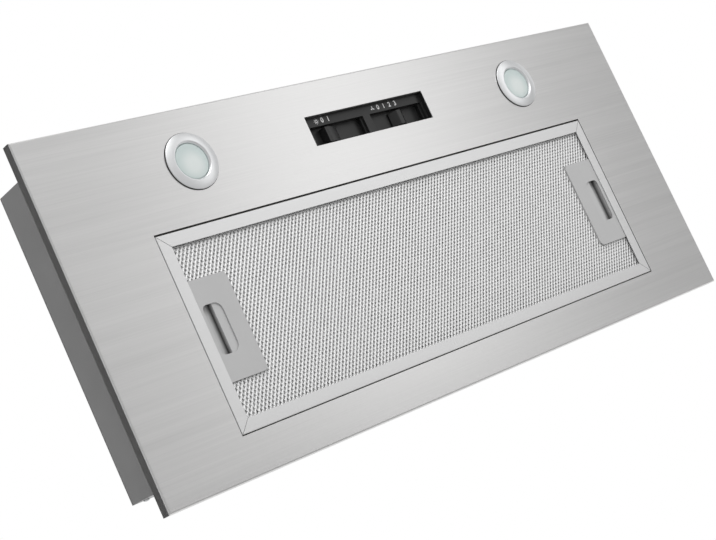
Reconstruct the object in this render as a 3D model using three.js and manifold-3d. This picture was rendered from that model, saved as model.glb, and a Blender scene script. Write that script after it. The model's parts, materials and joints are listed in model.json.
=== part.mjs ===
// Range hood insert: a folded steel face with a drop-out grease filter, two lamps and two slide
// switches, a low casing behind it, and a blower in its own chamber under a round duct collar.
// Millimetres, +Z up as installed. The origin is the centre of the face, in the plane where the
// rim bears on the underside of the canopy. The controls lie towards -Y, the side of the cook.

import * as THREE from 'three';
import { mergeVertices } from 'three/addons/utils/BufferGeometryUtils.js';
import Module from 'manifold-3d';

// ---------------------------------------------------------------- driving dimensions

const SEAT = 0.3; // gap between pieces that rest on each other
const SLIDE = 0.4; // running clearance of sliding pieces

// Face panel: a shallow tray of stainless sheet
const PANEL_LENGTH = 700;
const PANEL_WIDTH = 293;
const PANEL_SHEET = 0.8;
const FOLD_RADIUS = 2;
const RIM_DEPTH = 9.2;
const LIP_HEIGHT = 4; // return lip round the filter opening, from the face

// Casing behind the panel
const CASING_LENGTH = 674.8;
const CASING_WIDTH = 252;
const CASING_CENTRE_Y = 1;
const CASING_TOP_Z = 50.5;
const CASING_SHEET = 0.8;
const WALL_FLANGE = 9;
const FIXING_SPACING = 560;
const FIXING_HOLE_RADIUS = 2.6;

// Grease filter: mitred channel rails round a stack of expanded metal
const FILTER_LENGTH = 527;
const FILTER_FRONT_INSET = 75; // from the casing's front wall
const FILTER_REAR_INSET = 13.6; // from the casing's rear wall
const FILTER_DEPTH = 9;
const FILTER_FRONT_GAP = 1.3; // to the panel's opening
const FILTER_REAR_GAP = 0.7;
const FILTER_END_GAP = 0.6;
const RAIL_WIDTH = 10.8;
const RAIL_SHEET = 0.8;
const FRONT_MESH_DEPTH = 2.4; // from the face of the rails
const FRONT_MESH_SHEET = 1.2;
const REAR_MESH_SHEET = 1;
const CELL_LENGTH = 21; // diamond of the front mesh, along X
const CELL_WIDTH = 32; // and along Y
const STRAND_WIDTH = 3.2;
const REAR_CELL_FACTOR = 2;

// Filter latches, one at each end
const LATCH_LENGTH = 38.3; // cover, from the rail towards the middle
const LATCH_WIDTH = 84;
const LATCH_SHEET = 1;
const LATCH_CORNER_RADIUS = 5;
const TRAY_WALL = 1;
const SLOT_START = 3.5; // finger slot, from the rail's inner edge
const SLOT_LENGTH = 18.3;
const SLOT_WIDTH = 41;
const SLOT_OUTER_RADIUS = 4;
const SLOT_INNER_RADIUS = 7;
const LUG_EDGE = 13.6; // finger edge of the slider, from the rail's inner edge
const LUG_THICKNESS = 2;
const SLIDER_WIDTH = 60;
const SLIDER_SHEET = 2;
const SLIDER_TRAVEL = 5.5;
const TONGUE_WIDTH = 28;
const TONGUE_HEIGHT = 1.8;
const SPRING_ROOM = 3.2; // left for the spring with the slider pulled back
const SPRING_RADIUS = 1.5;
const SPRING_WIRE_RADIUS = 0.3;
const SPRING_TURNS = 5;

// Lamps
const LAMP_X = 201;
const LAMP_INSET = 24; // from the casing's front wall
const LAMP_RING_RADIUS = 24.5;
const LAMP_BODY_RADIUS = 22;
const LAMP_LENS_RADIUS = 15.2;
const LAMP_CREST_RADIUS = 18.4;
const LAMP_RISE = 2.6; // crest of the ring below the face
const LAMP_EDGE = 0.4; // of the rise, upright at the ring's outer edge
const LAMP_WALL = 1.8;
const LAMP_RECESS = 1.8; // lens face above the crest
const LAMP_TUBE_HEIGHT = 5;
const LAMP_CUP_HEIGHT = 17;
const LAMP_CHIPS = 6;
const LAMP_SIDES = 24;
const CLIP_SHEET = 0.7;
const CLIP_WIDTH = 8;
const CLIP_SPREAD = 9;
const CLIP_FOOT = 4;
const LAMP_CUP_TAPER = 0.8; // of its radius, at the top
const LAMP_CUP_SHOULDER = 0.7; // of its height
const LAMP_CUP_SIDES = 20;
const LAMP_BOARD_SHEET = 1.2;
const CHIP_SIZE = [2.8, 3.6, 0.7];
const CHIP_RING = 0.6; // of the lens's radius

// Controls
const SWITCH_X = 2;
const WINDOW_LENGTH = 145.6;
const WINDOW_WIDTH = 26.8;
const MOUTH_INSET = 0.7; // bezel's front wall, inside the window's edge
const LABEL_DEPTH = 5; // label plate behind the face
const LABEL_SHEET = 1.4;
const LABEL_WIDTH = 8.8; // from the window's front edge to the slots
const SLOT_END_MARGIN = 1.9;
const SLOT_DIVIDER = 8.9;
const DIVIDER_SHIFT = 1; // of its middle, from the window's
const SLOT_LEDGE_DEPTH = 7.5; // ledge at the right-hand end of each slot, behind the face
const SLOT_LEDGE_WIDTH = 2;
const BEZEL_WALL = 1.2;
const TRACK_DEPTH = 11.7; // floor of the slots behind the face
const TRACK_FLOOR = 1.5;
const GRIP_CLEARANCE = 2; // from the slot's front edge
const GRIP_WIDTH = 14;
const GRIP_RIDGE = 4.6; // along the travel, where the fingertip pushes
const GRIP_TOP_DEPTH = 3.8;
const GRIP_FOOT_SHEET = 1.2;
const LIGHT_RAMPS = [1.2, 13.5]; // from the ridge down to the foot, on its left and right
const FAN_RAMPS = [5.2, 8.1];
const SWITCH_STEP = 7.3; // travel from one mark to the next
const FAN_STEPS = 3;
const LIGHT_GRIP_X = -47.9;
const FAN_GRIP_X = 41;
const STEM_LENGTH = 6;
const STEM_WIDTH = 2;
const STEM_DEPTH = 7;
const SWITCH_BLOCK_HEIGHT = 14;
const TERMINAL_PITCH = 20;
const TERMINAL_COUNT = 6;
const TERMINAL_BLADE_WIDTH = 6.3;
const TERMINAL_BLADE_SHEET = 0.8;
const TERMINAL_BLADE_LENGTH = 8;

// Blower chamber on the deck
const CHAMBER_LENGTH = 330;
const CHAMBER_FRONT_MARGIN = 20; // deck left in front of the chamber
const CHAMBER_REAR_MARGIN = 13;
const CHAMBER_TOP_Z = 190;
const CHAMBER_FLANGE = 12;
const CHAMBER_RIM = 10; // lid's rim down the walls
const DECK_MARGIN = 14; // deck left inside the chamber walls

// Blower: a double-inlet wheel in a spiral scroll, axis along X
const WHEEL_INSET = 39; // axis in front of the collar's
const WHEEL_Z = 105;
const WHEEL_RADIUS = 50;
const WHEEL_BORE_RADIUS = 40;
const WHEEL_LENGTH = 70;
const WHEEL_BLADES = 20;
const WHEEL_DISC = 1.6;
const WHEEL_RING = 1.5;
const BLADE_INSET = 0.3; // inside the rings, at both edges
const BLADE_THICKNESS = 1;
const BLADE_SWEEP = 12; // degrees
const SCROLL_LENGTH = 76;
const SCROLL_SHEET = 0.8;
const SCROLL_START_RADIUS = 56;
const SCROLL_END_RADIUS = 80;
const SCROLL_START_ANGLE = 65; // degrees from +Y, where the cut-off lies
const SCROLL_STEPS = 20;
const SCROLL_EDGE = 4; // side plate beyond the wrap
const SCROLL_FLANGE = 9;
const INLET_RADIUS = 43;
const INLET_LIP = 4;
const INLET_SIDES = 32;

// Motor, carried on three arms in the right-hand inlet
const MOTOR_RADIUS = 28;
const MOTOR_LENGTH = 58;
const MOTOR_START_X = 5;
const MOTOR_TAPER = 0.7; // of its radius, at both ends
const MOTOR_SHOULDER = 0.15; // of its length
const SHAFT_RADIUS = 4;
const BEARING_RADIUS = 9;
const BEARING_LENGTH = 7;
const HUB_RADIUS = 10;
const HUB_LENGTH = 14;
const SHAFT_END = 2; // shaft beyond the hub and the motor
const SHAFT_SIDES = 16;
const MOTOR_SIDES = 24;
const ARM_WIDTH = 12;
const ARM_SHEET = 2;
const ARM_REACH = 51;

// Duct collar with back-draught flaps
const COLLAR_INSET = 72; // axis from the chamber's rear wall
const COLLAR_RADIUS = 60;
const COLLAR_WALL = 1.6;
const COLLAR_HEIGHT = 45;
const COLLAR_FLANGE_RADIUS = 71;
const COLLAR_FLANGE_SHEET = 2.5;
const LEDGE_WIDTH = 2;
const LEDGE_HEIGHT = 2;
const LEDGE_RISE = 6;
const FLAP_SHEET = 1.2;
const PIN_RADIUS = 1.5;
const KNUCKLE_RADIUS = 3;
const KNUCKLE_LENGTH = 11;
const KNUCKLE_PITCH = 16.5; // from a front flap's knuckle to the next rear one
const KNUCKLE_SIDES = 12;
const FLAP_CLEARANCE = 0.6; // round its edge
const FLAP_STEPS = 12;
const COLLAR_SIDES = 36;

// Electrics on the deck
const BOX_X = 240;
const BOX_INSET = 63; // its middle, from the casing's front wall
const BOX_LENGTH = 84;
const BOX_WIDTH = 54;
const BOX_HEIGHT = 30;
const BOX_WALL = 2;
const GLAND_RADIUS = 8;
const GLAND_BORE_RADIUS = 3.6;
const GLAND_LENGTH = 16;
const GLAND_NECK = 0.7; // of its radius, in the wall and at the tip
const GLAND_TAIL = 3; // beyond the wall, inside the box
const GLAND_NUT = 0.6; // of its length
const GLAND_SIDES = 12;
const CAPACITOR_X = 240;
const CAPACITOR_INSET = 87; // its axis, from the casing's rear wall
const CAPACITOR_RADIUS = 15;
const CAPACITOR_LENGTH = 58;
const STRAP_WIDTH = 12;
const STRAP_SHEET = 1;
const STRAP_FOOT = 12;

// Screw holes
const SCREW_HOLE_RADIUS = 1.9;
const SCREW_HOLE_SIDES = 8;

// ---------------------------------------------------------------- places worked out from them

const FACE_Z = -RIM_DEPTH;
const PANEL_BACK_Z = FACE_Z + PANEL_SHEET;
const WALL_FOOT_Z = PANEL_BACK_Z + SEAT;
const DECK_UNDER_Z = CASING_TOP_Z - CASING_SHEET;
const WALL_HEAD_Z = DECK_UNDER_Z - SEAT;
const CASING_FRONT_Y = CASING_CENTRE_Y - CASING_WIDTH / 2;
const CASING_REAR_Y = CASING_CENTRE_Y + CASING_WIDTH / 2;
const CASING_END_X = CASING_LENGTH / 2;
const LAMP_Y = CASING_FRONT_Y + LAMP_INSET;
const WINDOW_FRONT_Y = CASING_FRONT_Y + WALL_FLANGE + SEAT + BEZEL_WALL - MOUTH_INSET;
const SWITCH_Y = WINDOW_FRONT_Y + WINDOW_WIDTH / 2;
const CHAMBER_FRONT_Y = CASING_FRONT_Y + CHAMBER_FRONT_MARGIN;
const CHAMBER_REAR_Y = CASING_REAR_Y - CHAMBER_REAR_MARGIN;
const COLLAR_Y = CHAMBER_REAR_Y - COLLAR_INSET;
const WHEEL_Y = COLLAR_Y - WHEEL_INSET;
const BOX_Y = CASING_FRONT_Y + BOX_INSET;
const CAPACITOR_Y = CASING_REAR_Y - CAPACITOR_INSET;
const FILTER_END_X = FILTER_LENGTH / 2;
const FILTER_FRONT_Y = CASING_FRONT_Y + FILTER_FRONT_INSET;
const FILTER_REAR_Y = CASING_REAR_Y - FILTER_REAR_INSET;
const FILTER_WIDTH = FILTER_REAR_Y - FILTER_FRONT_Y;
const FILTER_CENTRE_Y = (FILTER_FRONT_Y + FILTER_REAR_Y) / 2;
const FILTER_TOP_Z = FACE_Z + FILTER_DEPTH;
const CHAMBER_END_X = CHAMBER_LENGTH / 2;
const CHAMBER_FOOT_Z = CASING_TOP_Z + SEAT;
const RIGHT_ANGLE = Math.PI / 2;

// ---------------------------------------------------------------- materials

const finish = (color, roughness, metalness) => () =>
  new THREE.MeshStandardMaterial({ color, roughness, metalness });
const brushedSteel = finish(0xc6c7c6, 0.36, 0.9);
const greySteel = finish(0x7b7b7b, 0.5, 0.7);
const zincSteel = finish(0xa9adb0, 0.42, 0.85);
const aluminium = finish(0xd6d6d4, 0.38, 0.85);
const chrome = finish(0xd9dbdc, 0.2, 1);
const greyPlastic = finish(0xb9b9b8, 0.5, 0);
const blackPlastic = finish(0x262628, 0.45, 0);
const charcoalPlastic = finish(0x414143, 0.5, 0);
const whitePlastic = finish(0xdfe0dc, 0.55, 0);
const frostedGlass = finish(0xdce6e4, 0.35, 0);
const darkSteel = finish(0x55585b, 0.4, 0.8);
const brass = finish(0xc2a05a, 0.35, 0.9);
const boardGreen = finish(0x2f6b4a, 0.6, 0);

// ---------------------------------------------------------------- geometry helpers

const wasm = await Module();
wasm.setup();

// Every corner lies on this grid, so that faces in one plane meet exactly.
const GRID = 1e-4;

function solidFrom(geometry) {
  const bare = geometry.clone();
  bare.deleteAttribute('normal');
  bare.deleteAttribute('uv');
  const merged = mergeVertices(bare, GRID);
  return new wasm.Manifold(new wasm.Mesh({
    numProp: 3,
    vertProperties: merged.attributes.position.array.map((value) => Math.round(value / GRID) * GRID),
    triVerts: new Uint32Array(merged.index.array),
  }));
}

function geometryFrom(solid) {
  const mesh = solid.getMesh();
  const geometry = new THREE.BufferGeometry();
  geometry.setAttribute('position', new THREE.BufferAttribute(mesh.vertProperties, 3));
  geometry.setIndex(new THREE.BufferAttribute(mesh.triVerts, 1));
  return geometry;
}

// Several closed shapes as one: touching ones fuse, and separate ones stay a group.
function joined(...geometries) {
  const solids = geometries.flat().map(solidFrom);
  return geometryFrom(solids.reduce((whole, next) => whole.add(next)));
}

function cut(geometry, ...tools) {
  const solids = tools.flat().map(solidFrom);
  return geometryFrom(solids.reduce((rest, tool) => rest.subtract(tool), solidFrom(geometry)));
}

function reversed(geometry) {
  const index = geometry.index.array;
  for (let i = 0; i < index.length; i += 3) {
    [index[i + 1], index[i + 2]] = [index[i + 2], index[i + 1]];
  }
  return geometry;
}

function facingOut(geometry) {
  const place = geometry.attributes.position;
  const index = geometry.index.array;
  const corners = [new THREE.Vector3(), new THREE.Vector3(), new THREE.Vector3()];
  let volume = 0;
  for (let i = 0; i < index.length; i += 3) {
    corners.forEach((corner, k) => corner.fromBufferAttribute(place, index[i + k]));
    volume += corners[0].dot(corners[1].clone().cross(corners[2]));
  }
  return volume < 0 ? reversed(geometry) : geometry;
}

function mirroredX(geometry) {
  return reversed(geometry.clone().scale(-1, 1, 1));
}

// A box from its six faces.
function block(x0, x1, y0, y1, z0, z1) {
  const box = new THREE.BoxGeometry(x1 - x0, y1 - y0, z1 - z0);
  return box.translate((x0 + x1) / 2, (y0 + y1) / 2, (z0 + z1) / 2);
}

// A box round a centre line, from its half sizes along X and Y.
function centredBlock(halfX, halfY, z0, z1, x = 0, y = 0) {
  return block(x - halfX, x + halfX, y - halfY, y + halfY, z0, z1);
}

function prism(outline, z0, z1, holes = []) {
  const toPath = (points) => points.map(([x, y]) => new THREE.Vector2(x, y));
  const shape = new THREE.Shape(toPath(outline));
  shape.holes = holes.map((hole) => new THREE.Path(toPath(hole)));
  const solid = new THREE.ExtrudeGeometry(shape, { depth: z1 - z0, bevelEnabled: false });
  return solid.translate(0, 0, z0);
}

// Turns a prism drawn in (y, z) and raised along the third axis so that it runs along X.
function alongX(geometry) {
  const basis = new THREE.Matrix4().makeBasis(
    new THREE.Vector3(0, 1, 0),
    new THREE.Vector3(0, 0, 1),
    new THREE.Vector3(1, 0, 0),
  );
  return geometry.applyMatrix4(basis);
}

function polar(radius, angle, x = 0, y = 0) {
  return [x + radius * Math.cos(angle), y + radius * Math.sin(angle)];
}

function circle(radius, sides, x = 0, y = 0) {
  const turn = (i) => ((i + 0.5) / sides) * 2 * Math.PI;
  return Array.from({ length: sides }, (_, i) => polar(radius, turn(i), x, y));
}

function drill(radius, x, y, z0, z1, sides = SCREW_HOLE_SIDES) {
  return prism(circle(radius, sides, x, y), z0, z1);
}

function rectangle(halfX, halfY, x = 0, y = 0) {
  return [[x - halfX, y - halfY], [x + halfX, y - halfY], [x + halfX, y + halfY], [x - halfX, y + halfY]];
}

// A rectangle whose corners at x1 are rounded by far, and those at x0 by near.
function roundedRectangle(x0, x1, y0, y1, near, far, steps = 4) {
  const corners = [
    [x0 + near, y0 + near, near, 2],
    [x1 - far, y0 + far, far, 3],
    [x1 - far, y1 - far, far, 0],
    [x0 + near, y1 - near, near, 1],
  ];
  return corners.flatMap(([x, y, radius, quarter]) =>
    Array.from({ length: steps + 1 }, (_, i) => polar(radius, (quarter + i / steps) * RIGHT_ANGLE, x, y)));
}

// A closed profile of [radius, height] turned about Z.
function turned(profile, sides, x = 0, y = 0) {
  const onAxis = profile[0][0] === 0;
  const points = (onAxis ? profile : [...profile, profile[0]]).map(([r, z]) => new THREE.Vector2(r, z));
  const lathe = new THREE.LatheGeometry(points, sides);
  lathe.rotateX(RIGHT_ANGLE);
  lathe.translate(x, y, 0);
  return facingOut(lathe);
}

// A skin through rings of equally many points, closed by a flat face at each end.
function loft(rings) {
  const count = rings[0].length;
  const index = [];
  for (let i = 0; i + 1 < rings.length; i += 1) {
    for (let j = 0; j < count; j += 1) {
      const a = i * count + j;
      const b = i * count + ((j + 1) % count);
      index.push(a, b, a + count, b, b + count, a + count);
    }
  }
  const last = (rings.length - 1) * count;
  for (let j = 1; j + 1 < count; j += 1) {
    index.push(0, j + 1, j, last, last + j, last + j + 1);
  }
  const geometry = new THREE.BufferGeometry();
  geometry.setAttribute('position', new THREE.Float32BufferAttribute(rings.flat(2), 3));
  geometry.setIndex(index);
  return facingOut(geometry);
}

const hood = new THREE.Group();

function place(name, geometry, material) {
  const mesh = new THREE.Mesh(geometry, material());
  mesh.name = name;
  hood.add(mesh);
}

// ---------------------------------------------------------------- face panel

// Rectangular rings up the outside of the rim and down its inside, round the fold.
function trayRings() {
  const steps = 3;
  const ring = (inset, z) => rectangle(PANEL_LENGTH / 2 - inset, PANEL_WIDTH / 2 - inset)
    .map(([x, y]) => [x, y, z]);
  const foldRing = (radius, turn) =>
    ring(FOLD_RADIUS - radius * Math.sin(turn), FACE_Z + FOLD_RADIUS - radius * Math.cos(turn));
  const turns = Array.from({ length: steps + 1 }, (_, i) => (i / steps) * RIGHT_ANGLE);
  return [
    ...turns.map((turn) => foldRing(FOLD_RADIUS, turn)),
    ring(0, 0),
    ring(PANEL_SHEET, 0),
    ...turns.reverse().map((turn) => foldRing(FOLD_RADIUS - PANEL_SHEET, turn)),
  ];
}

const openingHalfX = FILTER_END_X + FILTER_END_GAP;
const openingHalfY = (FILTER_WIDTH + FILTER_FRONT_GAP + FILTER_REAR_GAP) / 2;
const openingCentreY = FILTER_CENTRE_Y + (FILTER_REAR_GAP - FILTER_FRONT_GAP) / 2;
const seatHalfX = openingHalfX + PANEL_SHEET + SEAT;
const seatHalfY = openingHalfY + PANEL_SHEET + SEAT;
const partitionRearY = openingCentreY - seatHalfY - CASING_SHEET - SEAT;

function facePanel() {
  const below = FACE_Z - 1;
  const above = PANEL_BACK_Z + 1;
  const opening = centredBlock(openingHalfX, openingHalfY, below, above, 0, openingCentreY);
  const window = centredBlock(WINDOW_LENGTH / 2, WINDOW_WIDTH / 2, below, above, SWITCH_X, SWITCH_Y);
  const lampHoles = [-LAMP_X, LAMP_X].map((x) =>
    drill(LAMP_BODY_RADIUS + SEAT, x, LAMP_Y, below, above, LAMP_SIDES));
  const lip = prism(
    rectangle(openingHalfX + PANEL_SHEET, openingHalfY + PANEL_SHEET, 0, openingCentreY),
    FACE_Z + PANEL_SHEET / 2,
    FACE_Z + LIP_HEIGHT,
    [rectangle(openingHalfX, openingHalfY, 0, openingCentreY)],
  );
  return joined(cut(loft(trayRings()), opening, window, lampHoles), lip);
}

place('face_panel', facePanel(), brushedSteel);

// ---------------------------------------------------------------- casing

const deckScrewPlaces = [-1, 1].flatMap((side) => [
  [side * FIXING_SPACING / 2, CASING_FRONT_Y + WALL_FLANGE / 2],
  [side * FIXING_SPACING / 2, CASING_REAR_Y - WALL_FLANGE / 2],
]);
const screwHoles = (places, z0, z1) =>
  places.map(([x, y]) => drill(SCREW_HOLE_RADIUS, x, y, z0, z1));

// A channel-shaped wall along X with its web at y and its flanges towards inward.
function longWall(y, inward) {
  const halfX = CASING_END_X - CASING_SHEET - SEAT;
  const web = [y, y + inward * CASING_SHEET].sort((a, b) => a - b);
  const flange = [y, y + inward * WALL_FLANGE].sort((a, b) => a - b);
  const wall = joined(
    block(-halfX, halfX, ...web, WALL_FOOT_Z, WALL_HEAD_Z),
    block(-halfX, halfX, ...flange, WALL_FOOT_Z, WALL_FOOT_Z + CASING_SHEET),
    block(-halfX, halfX, ...flange, WALL_HEAD_Z - CASING_SHEET, WALL_HEAD_Z),
  );
  const fixings = [-1, 1].map((side) =>
    drill(FIXING_HOLE_RADIUS, 0, 0, -CASING_SHEET * 2, CASING_SHEET * 2)
      .rotateX(RIGHT_ANGLE)
      .translate(side * FIXING_SPACING / 2, web[0], CASING_TOP_Z / 2));
  const lampReliefs = [-LAMP_X, LAMP_X].map((x) =>
    drill(LAMP_BODY_RADIUS + 1, x, LAMP_Y, WALL_FOOT_Z - 1, 0, LAMP_SIDES));
  return cut(wall, fixings, lampReliefs, screwHoles(deckScrewPlaces, WALL_HEAD_Z - 2, WALL_HEAD_Z + 1));
}

place('casing_front_wall', longWall(CASING_FRONT_Y, 1), greySteel);
place('casing_rear_wall', longWall(CASING_REAR_Y, -1), greySteel);

// The left end wall: its upright returns lie behind the long walls.
function endWall() {
  const face = -CASING_END_X;
  const returnY = CASING_SHEET + SEAT;
  const footTop = WALL_FOOT_Z + CASING_SHEET;
  const flangeEnd = WALL_FLANGE + SEAT;
  const tall = [footTop + SEAT, WALL_HEAD_Z - CASING_SHEET - SEAT];
  const frontReturnY = CASING_FRONT_Y + returnY;
  const rearReturnY = CASING_REAR_Y - returnY;
  return joined(
    block(face, face + CASING_SHEET, CASING_FRONT_Y, CASING_REAR_Y, WALL_FOOT_Z, WALL_HEAD_Z),
    block(face, face + WALL_FLANGE, frontReturnY, frontReturnY + CASING_SHEET, ...tall),
    block(face, face + WALL_FLANGE, rearReturnY - CASING_SHEET, rearReturnY, ...tall),
    block(
      face,
      face + WALL_FLANGE,
      CASING_FRONT_Y + flangeEnd,
      CASING_REAR_Y - flangeEnd,
      WALL_FOOT_Z,
      footTop,
    ),
  );
}

place('casing_end_wall_left', endWall(), greySteel);
place('casing_end_wall_right', mirroredX(endWall()), greySteel);

const chamberCentreY = (CHAMBER_FRONT_Y + CHAMBER_REAR_Y) / 2;
const chamberHalfY = (CHAMBER_REAR_Y - CHAMBER_FRONT_Y) / 2;
const chamberScrewPlaces = [-1, 1].flatMap((side) => [
  [side * CHAMBER_LENGTH / 3, CHAMBER_FRONT_Y - CHAMBER_FLANGE / 2],
  [side * CHAMBER_LENGTH / 3, CHAMBER_REAR_Y + CHAMBER_FLANGE / 2],
  [side * (CHAMBER_END_X + CHAMBER_FLANGE / 2), chamberCentreY - chamberHalfY / 2],
  [side * (CHAMBER_END_X + CHAMBER_FLANGE / 2), chamberCentreY + chamberHalfY / 2],
]);

function deck() {
  const plate = block(
    -CASING_END_X,
    CASING_END_X,
    CASING_FRONT_Y,
    CASING_REAR_Y,
    DECK_UNDER_Z,
    CASING_TOP_Z,
  );
  const opening = block(
    -CHAMBER_END_X + DECK_MARGIN,
    CHAMBER_END_X - DECK_MARGIN,
    partitionRearY - CASING_SHEET,
    CHAMBER_REAR_Y - DECK_MARGIN,
    DECK_UNDER_Z - 1,
    CASING_TOP_Z + 1,
  );
  const holes = screwHoles([...deckScrewPlaces, ...chamberScrewPlaces], DECK_UNDER_Z - 1, CASING_TOP_Z + 1);
  return cut(plate, opening, holes);
}

place('casing_deck', deck(), greySteel);

// The seat frame boxes the filter opening: its ledge stops the filter from above.
const tongueUnderZ = FACE_Z + LIP_HEIGHT + SLIDE;
const tongueTopZ = tongueUnderZ + TONGUE_HEIGHT;

function filterSeatFrame() {
  const ledgeUnder = FILTER_TOP_Z + SEAT;
  const outer = centredBlock(
    seatHalfX + CASING_SHEET,
    seatHalfY + CASING_SHEET,
    WALL_FOOT_Z,
    ledgeUnder + CASING_SHEET,
    0,
    openingCentreY,
  );
  const well = centredBlock(seatHalfX, seatHalfY, WALL_FOOT_Z - 1, ledgeUnder, 0, openingCentreY);
  const airway = centredBlock(
    FILTER_END_X - RAIL_WIDTH + SEAT,
    FILTER_WIDTH / 2 - RAIL_WIDTH + SEAT,
    WALL_FOOT_Z,
    ledgeUnder + CASING_SHEET + 1,
    0,
    FILTER_CENTRE_Y,
  );
  const keepers = [-1, 1].map((side) => centredBlock(
    CASING_SHEET * 2,
    TONGUE_WIDTH / 2 + SLIDE,
    tongueUnderZ - SLIDE,
    tongueTopZ + SLIDE,
    side * seatHalfX,
    FILTER_CENTRE_Y,
  ));
  return cut(outer, well, airway, keepers);
}

place('filter_seat_frame', filterSeatFrame(), greySteel);

// The partition keeps the greasy air out of the strip with the lamps and switches.

function controlPartition() {
  const halfX = CASING_END_X - WALL_FLANGE - SEAT;
  return joined(
    block(-halfX, halfX, partitionRearY - CASING_SHEET, partitionRearY, WALL_FOOT_Z, WALL_HEAD_Z),
    block(
      -halfX,
      halfX,
      partitionRearY - WALL_FLANGE,
      partitionRearY,
      WALL_FOOT_Z,
      WALL_FOOT_Z + CASING_SHEET,
    ),
  );
}

place('control_partition', controlPartition(), zincSteel);

// ---------------------------------------------------------------- grease filter

// A channel drawn as [distance in from the filter's edge, depth behind its face].
function railProfile() {
  const far = FILTER_DEPTH - RAIL_SHEET;
  return [
    [0, 0],
    [RAIL_WIDTH, 0],
    [RAIL_WIDTH, RAIL_SHEET],
    [RAIL_SHEET, RAIL_SHEET],
    [RAIL_SHEET, far],
    [RAIL_WIDTH, far],
    [RAIL_WIDTH, FILTER_DEPTH],
    [0, FILTER_DEPTH],
  ];
}

// A rail along X whose ends are mitred: it is drawn in by as much as it lies inwards.
function rail(length) {
  const geometry = alongX(prism(railProfile(), -1, 1));
  const point = geometry.attributes.position;
  for (let i = 0; i < point.count; i += 1) {
    point.setX(i, point.getX(i) * (length / 2 - point.getY(i) - SEAT / 2));
  }
  return geometry;
}

function endRail() {
  const mouth = block(
    -TONGUE_WIDTH / 2 - SLIDE,
    TONGUE_WIDTH / 2 + SLIDE,
    -RAIL_SHEET,
    RAIL_SHEET * 2,
    tongueUnderZ - SLIDE - FACE_Z,
    tongueTopZ + SLIDE - FACE_Z,
  );
  return cut(rail(FILTER_WIDTH), mouth)
    .rotateZ(-RIGHT_ANGLE)
    .translate(-FILTER_END_X, FILTER_CENTRE_Y, FACE_Z);
}

place('filter_rail_front', rail(FILTER_LENGTH).translate(0, FILTER_FRONT_Y, FACE_Z), aluminium);
place(
  'filter_rail_rear',
  rail(FILTER_LENGTH).rotateZ(Math.PI).translate(0, FILTER_REAR_Y, FACE_Z),
  aluminium,
);
place('filter_rail_left', endRail(), aluminium);
place('filter_rail_right', mirroredX(endRail()), aluminium);

const meshHalfX = FILTER_END_X - RAIL_SHEET - SEAT;
const meshHalfY = FILTER_WIDTH / 2 - RAIL_SHEET - SEAT;
const latchInnerX = FILTER_END_X - RAIL_WIDTH - LATCH_LENGTH;
const notchX = latchInnerX - SEAT;
const notchHalfY = LATCH_WIDTH / 2 + SEAT;

// The outline of every mesh layer, notched at both ends for the latches.
function meshOutline() {
  const quarter = [[meshHalfX, meshHalfY], [meshHalfX, notchHalfY], [notchX, notchHalfY]];
  const right = [...quarter.map(([x, y]) => [x, -y]), ...quarter.slice().reverse()];
  const left = right.map(([x, y]) => [-x, -y]);
  return [...right, ...left];
}

// Diamond gaps in staggered rows, wherever a whole one fits between rails and latches.
function diamonds(cellLength, cellWidth) {
  const reach = (cellLength * cellWidth) / 2 / Math.hypot(cellLength, cellWidth);
  const open = 1 - STRAND_WIDTH / 2 / reach;
  const halfX = (cellLength / 2) * open;
  const halfY = (cellWidth / 2) * open;
  const limitX = FILTER_END_X - RAIL_WIDTH - halfX;
  const limitY = FILTER_WIDTH / 2 - RAIL_WIDTH - halfY;
  const clear = (x, y) => Math.abs(x) < limitX && Math.abs(y) < limitY
    && (Math.abs(x) + halfX < notchX - STRAND_WIDTH / 2
      || Math.abs(y) - halfY > notchHalfY + STRAND_WIDTH / 2);
  const rows = Math.ceil(FILTER_WIDTH / cellWidth);
  const columns = Math.ceil(FILTER_LENGTH / cellLength);
  const gaps = [];
  for (let row = -rows; row <= rows; row += 1) {
    const shift = (Math.abs(row) % 2) / 2;
    for (let column = -columns; column <= columns; column += 1) {
      const x = (column + shift) * cellLength;
      const y = (row / 2) * cellWidth;
      if (clear(x, y)) gaps.push([[x - halfX, y], [x, y - halfY], [x + halfX, y], [x, y + halfY]]);
    }
  }
  return gaps;
}

const frontMeshZ = FACE_Z + FRONT_MESH_DEPTH;
const coreZ = frontMeshZ + FRONT_MESH_SHEET + SEAT;
const rearMeshTopZ = FACE_Z + FILTER_DEPTH - RAIL_SHEET - SEAT;
const rearMeshZ = rearMeshTopZ - REAR_MESH_SHEET;

function meshLayer(z0, z1, gaps) {
  const holes = gaps.map((gap) => prism(gap, z0 - 1, z1 + 1));
  return cut(prism(meshOutline(), z0, z1), holes).translate(0, FILTER_CENTRE_Y, 0);
}

place(
  'filter_front_mesh',
  meshLayer(frontMeshZ, frontMeshZ + FRONT_MESH_SHEET, diamonds(CELL_LENGTH, CELL_WIDTH)),
  aluminium,
);
place('filter_core', meshLayer(coreZ, rearMeshZ - SEAT, []), aluminium);
place(
  'filter_rear_mesh',
  meshLayer(
    rearMeshZ,
    rearMeshTopZ,
    diamonds(CELL_LENGTH * REAR_CELL_FACTOR, CELL_WIDTH * REAR_CELL_FACTOR),
  ),
  aluminium,
);

// ---------------------------------------------------------------- filter latches
// Drawn for the left end. railX is the rail's inner edge, and inwards is +X.

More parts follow.
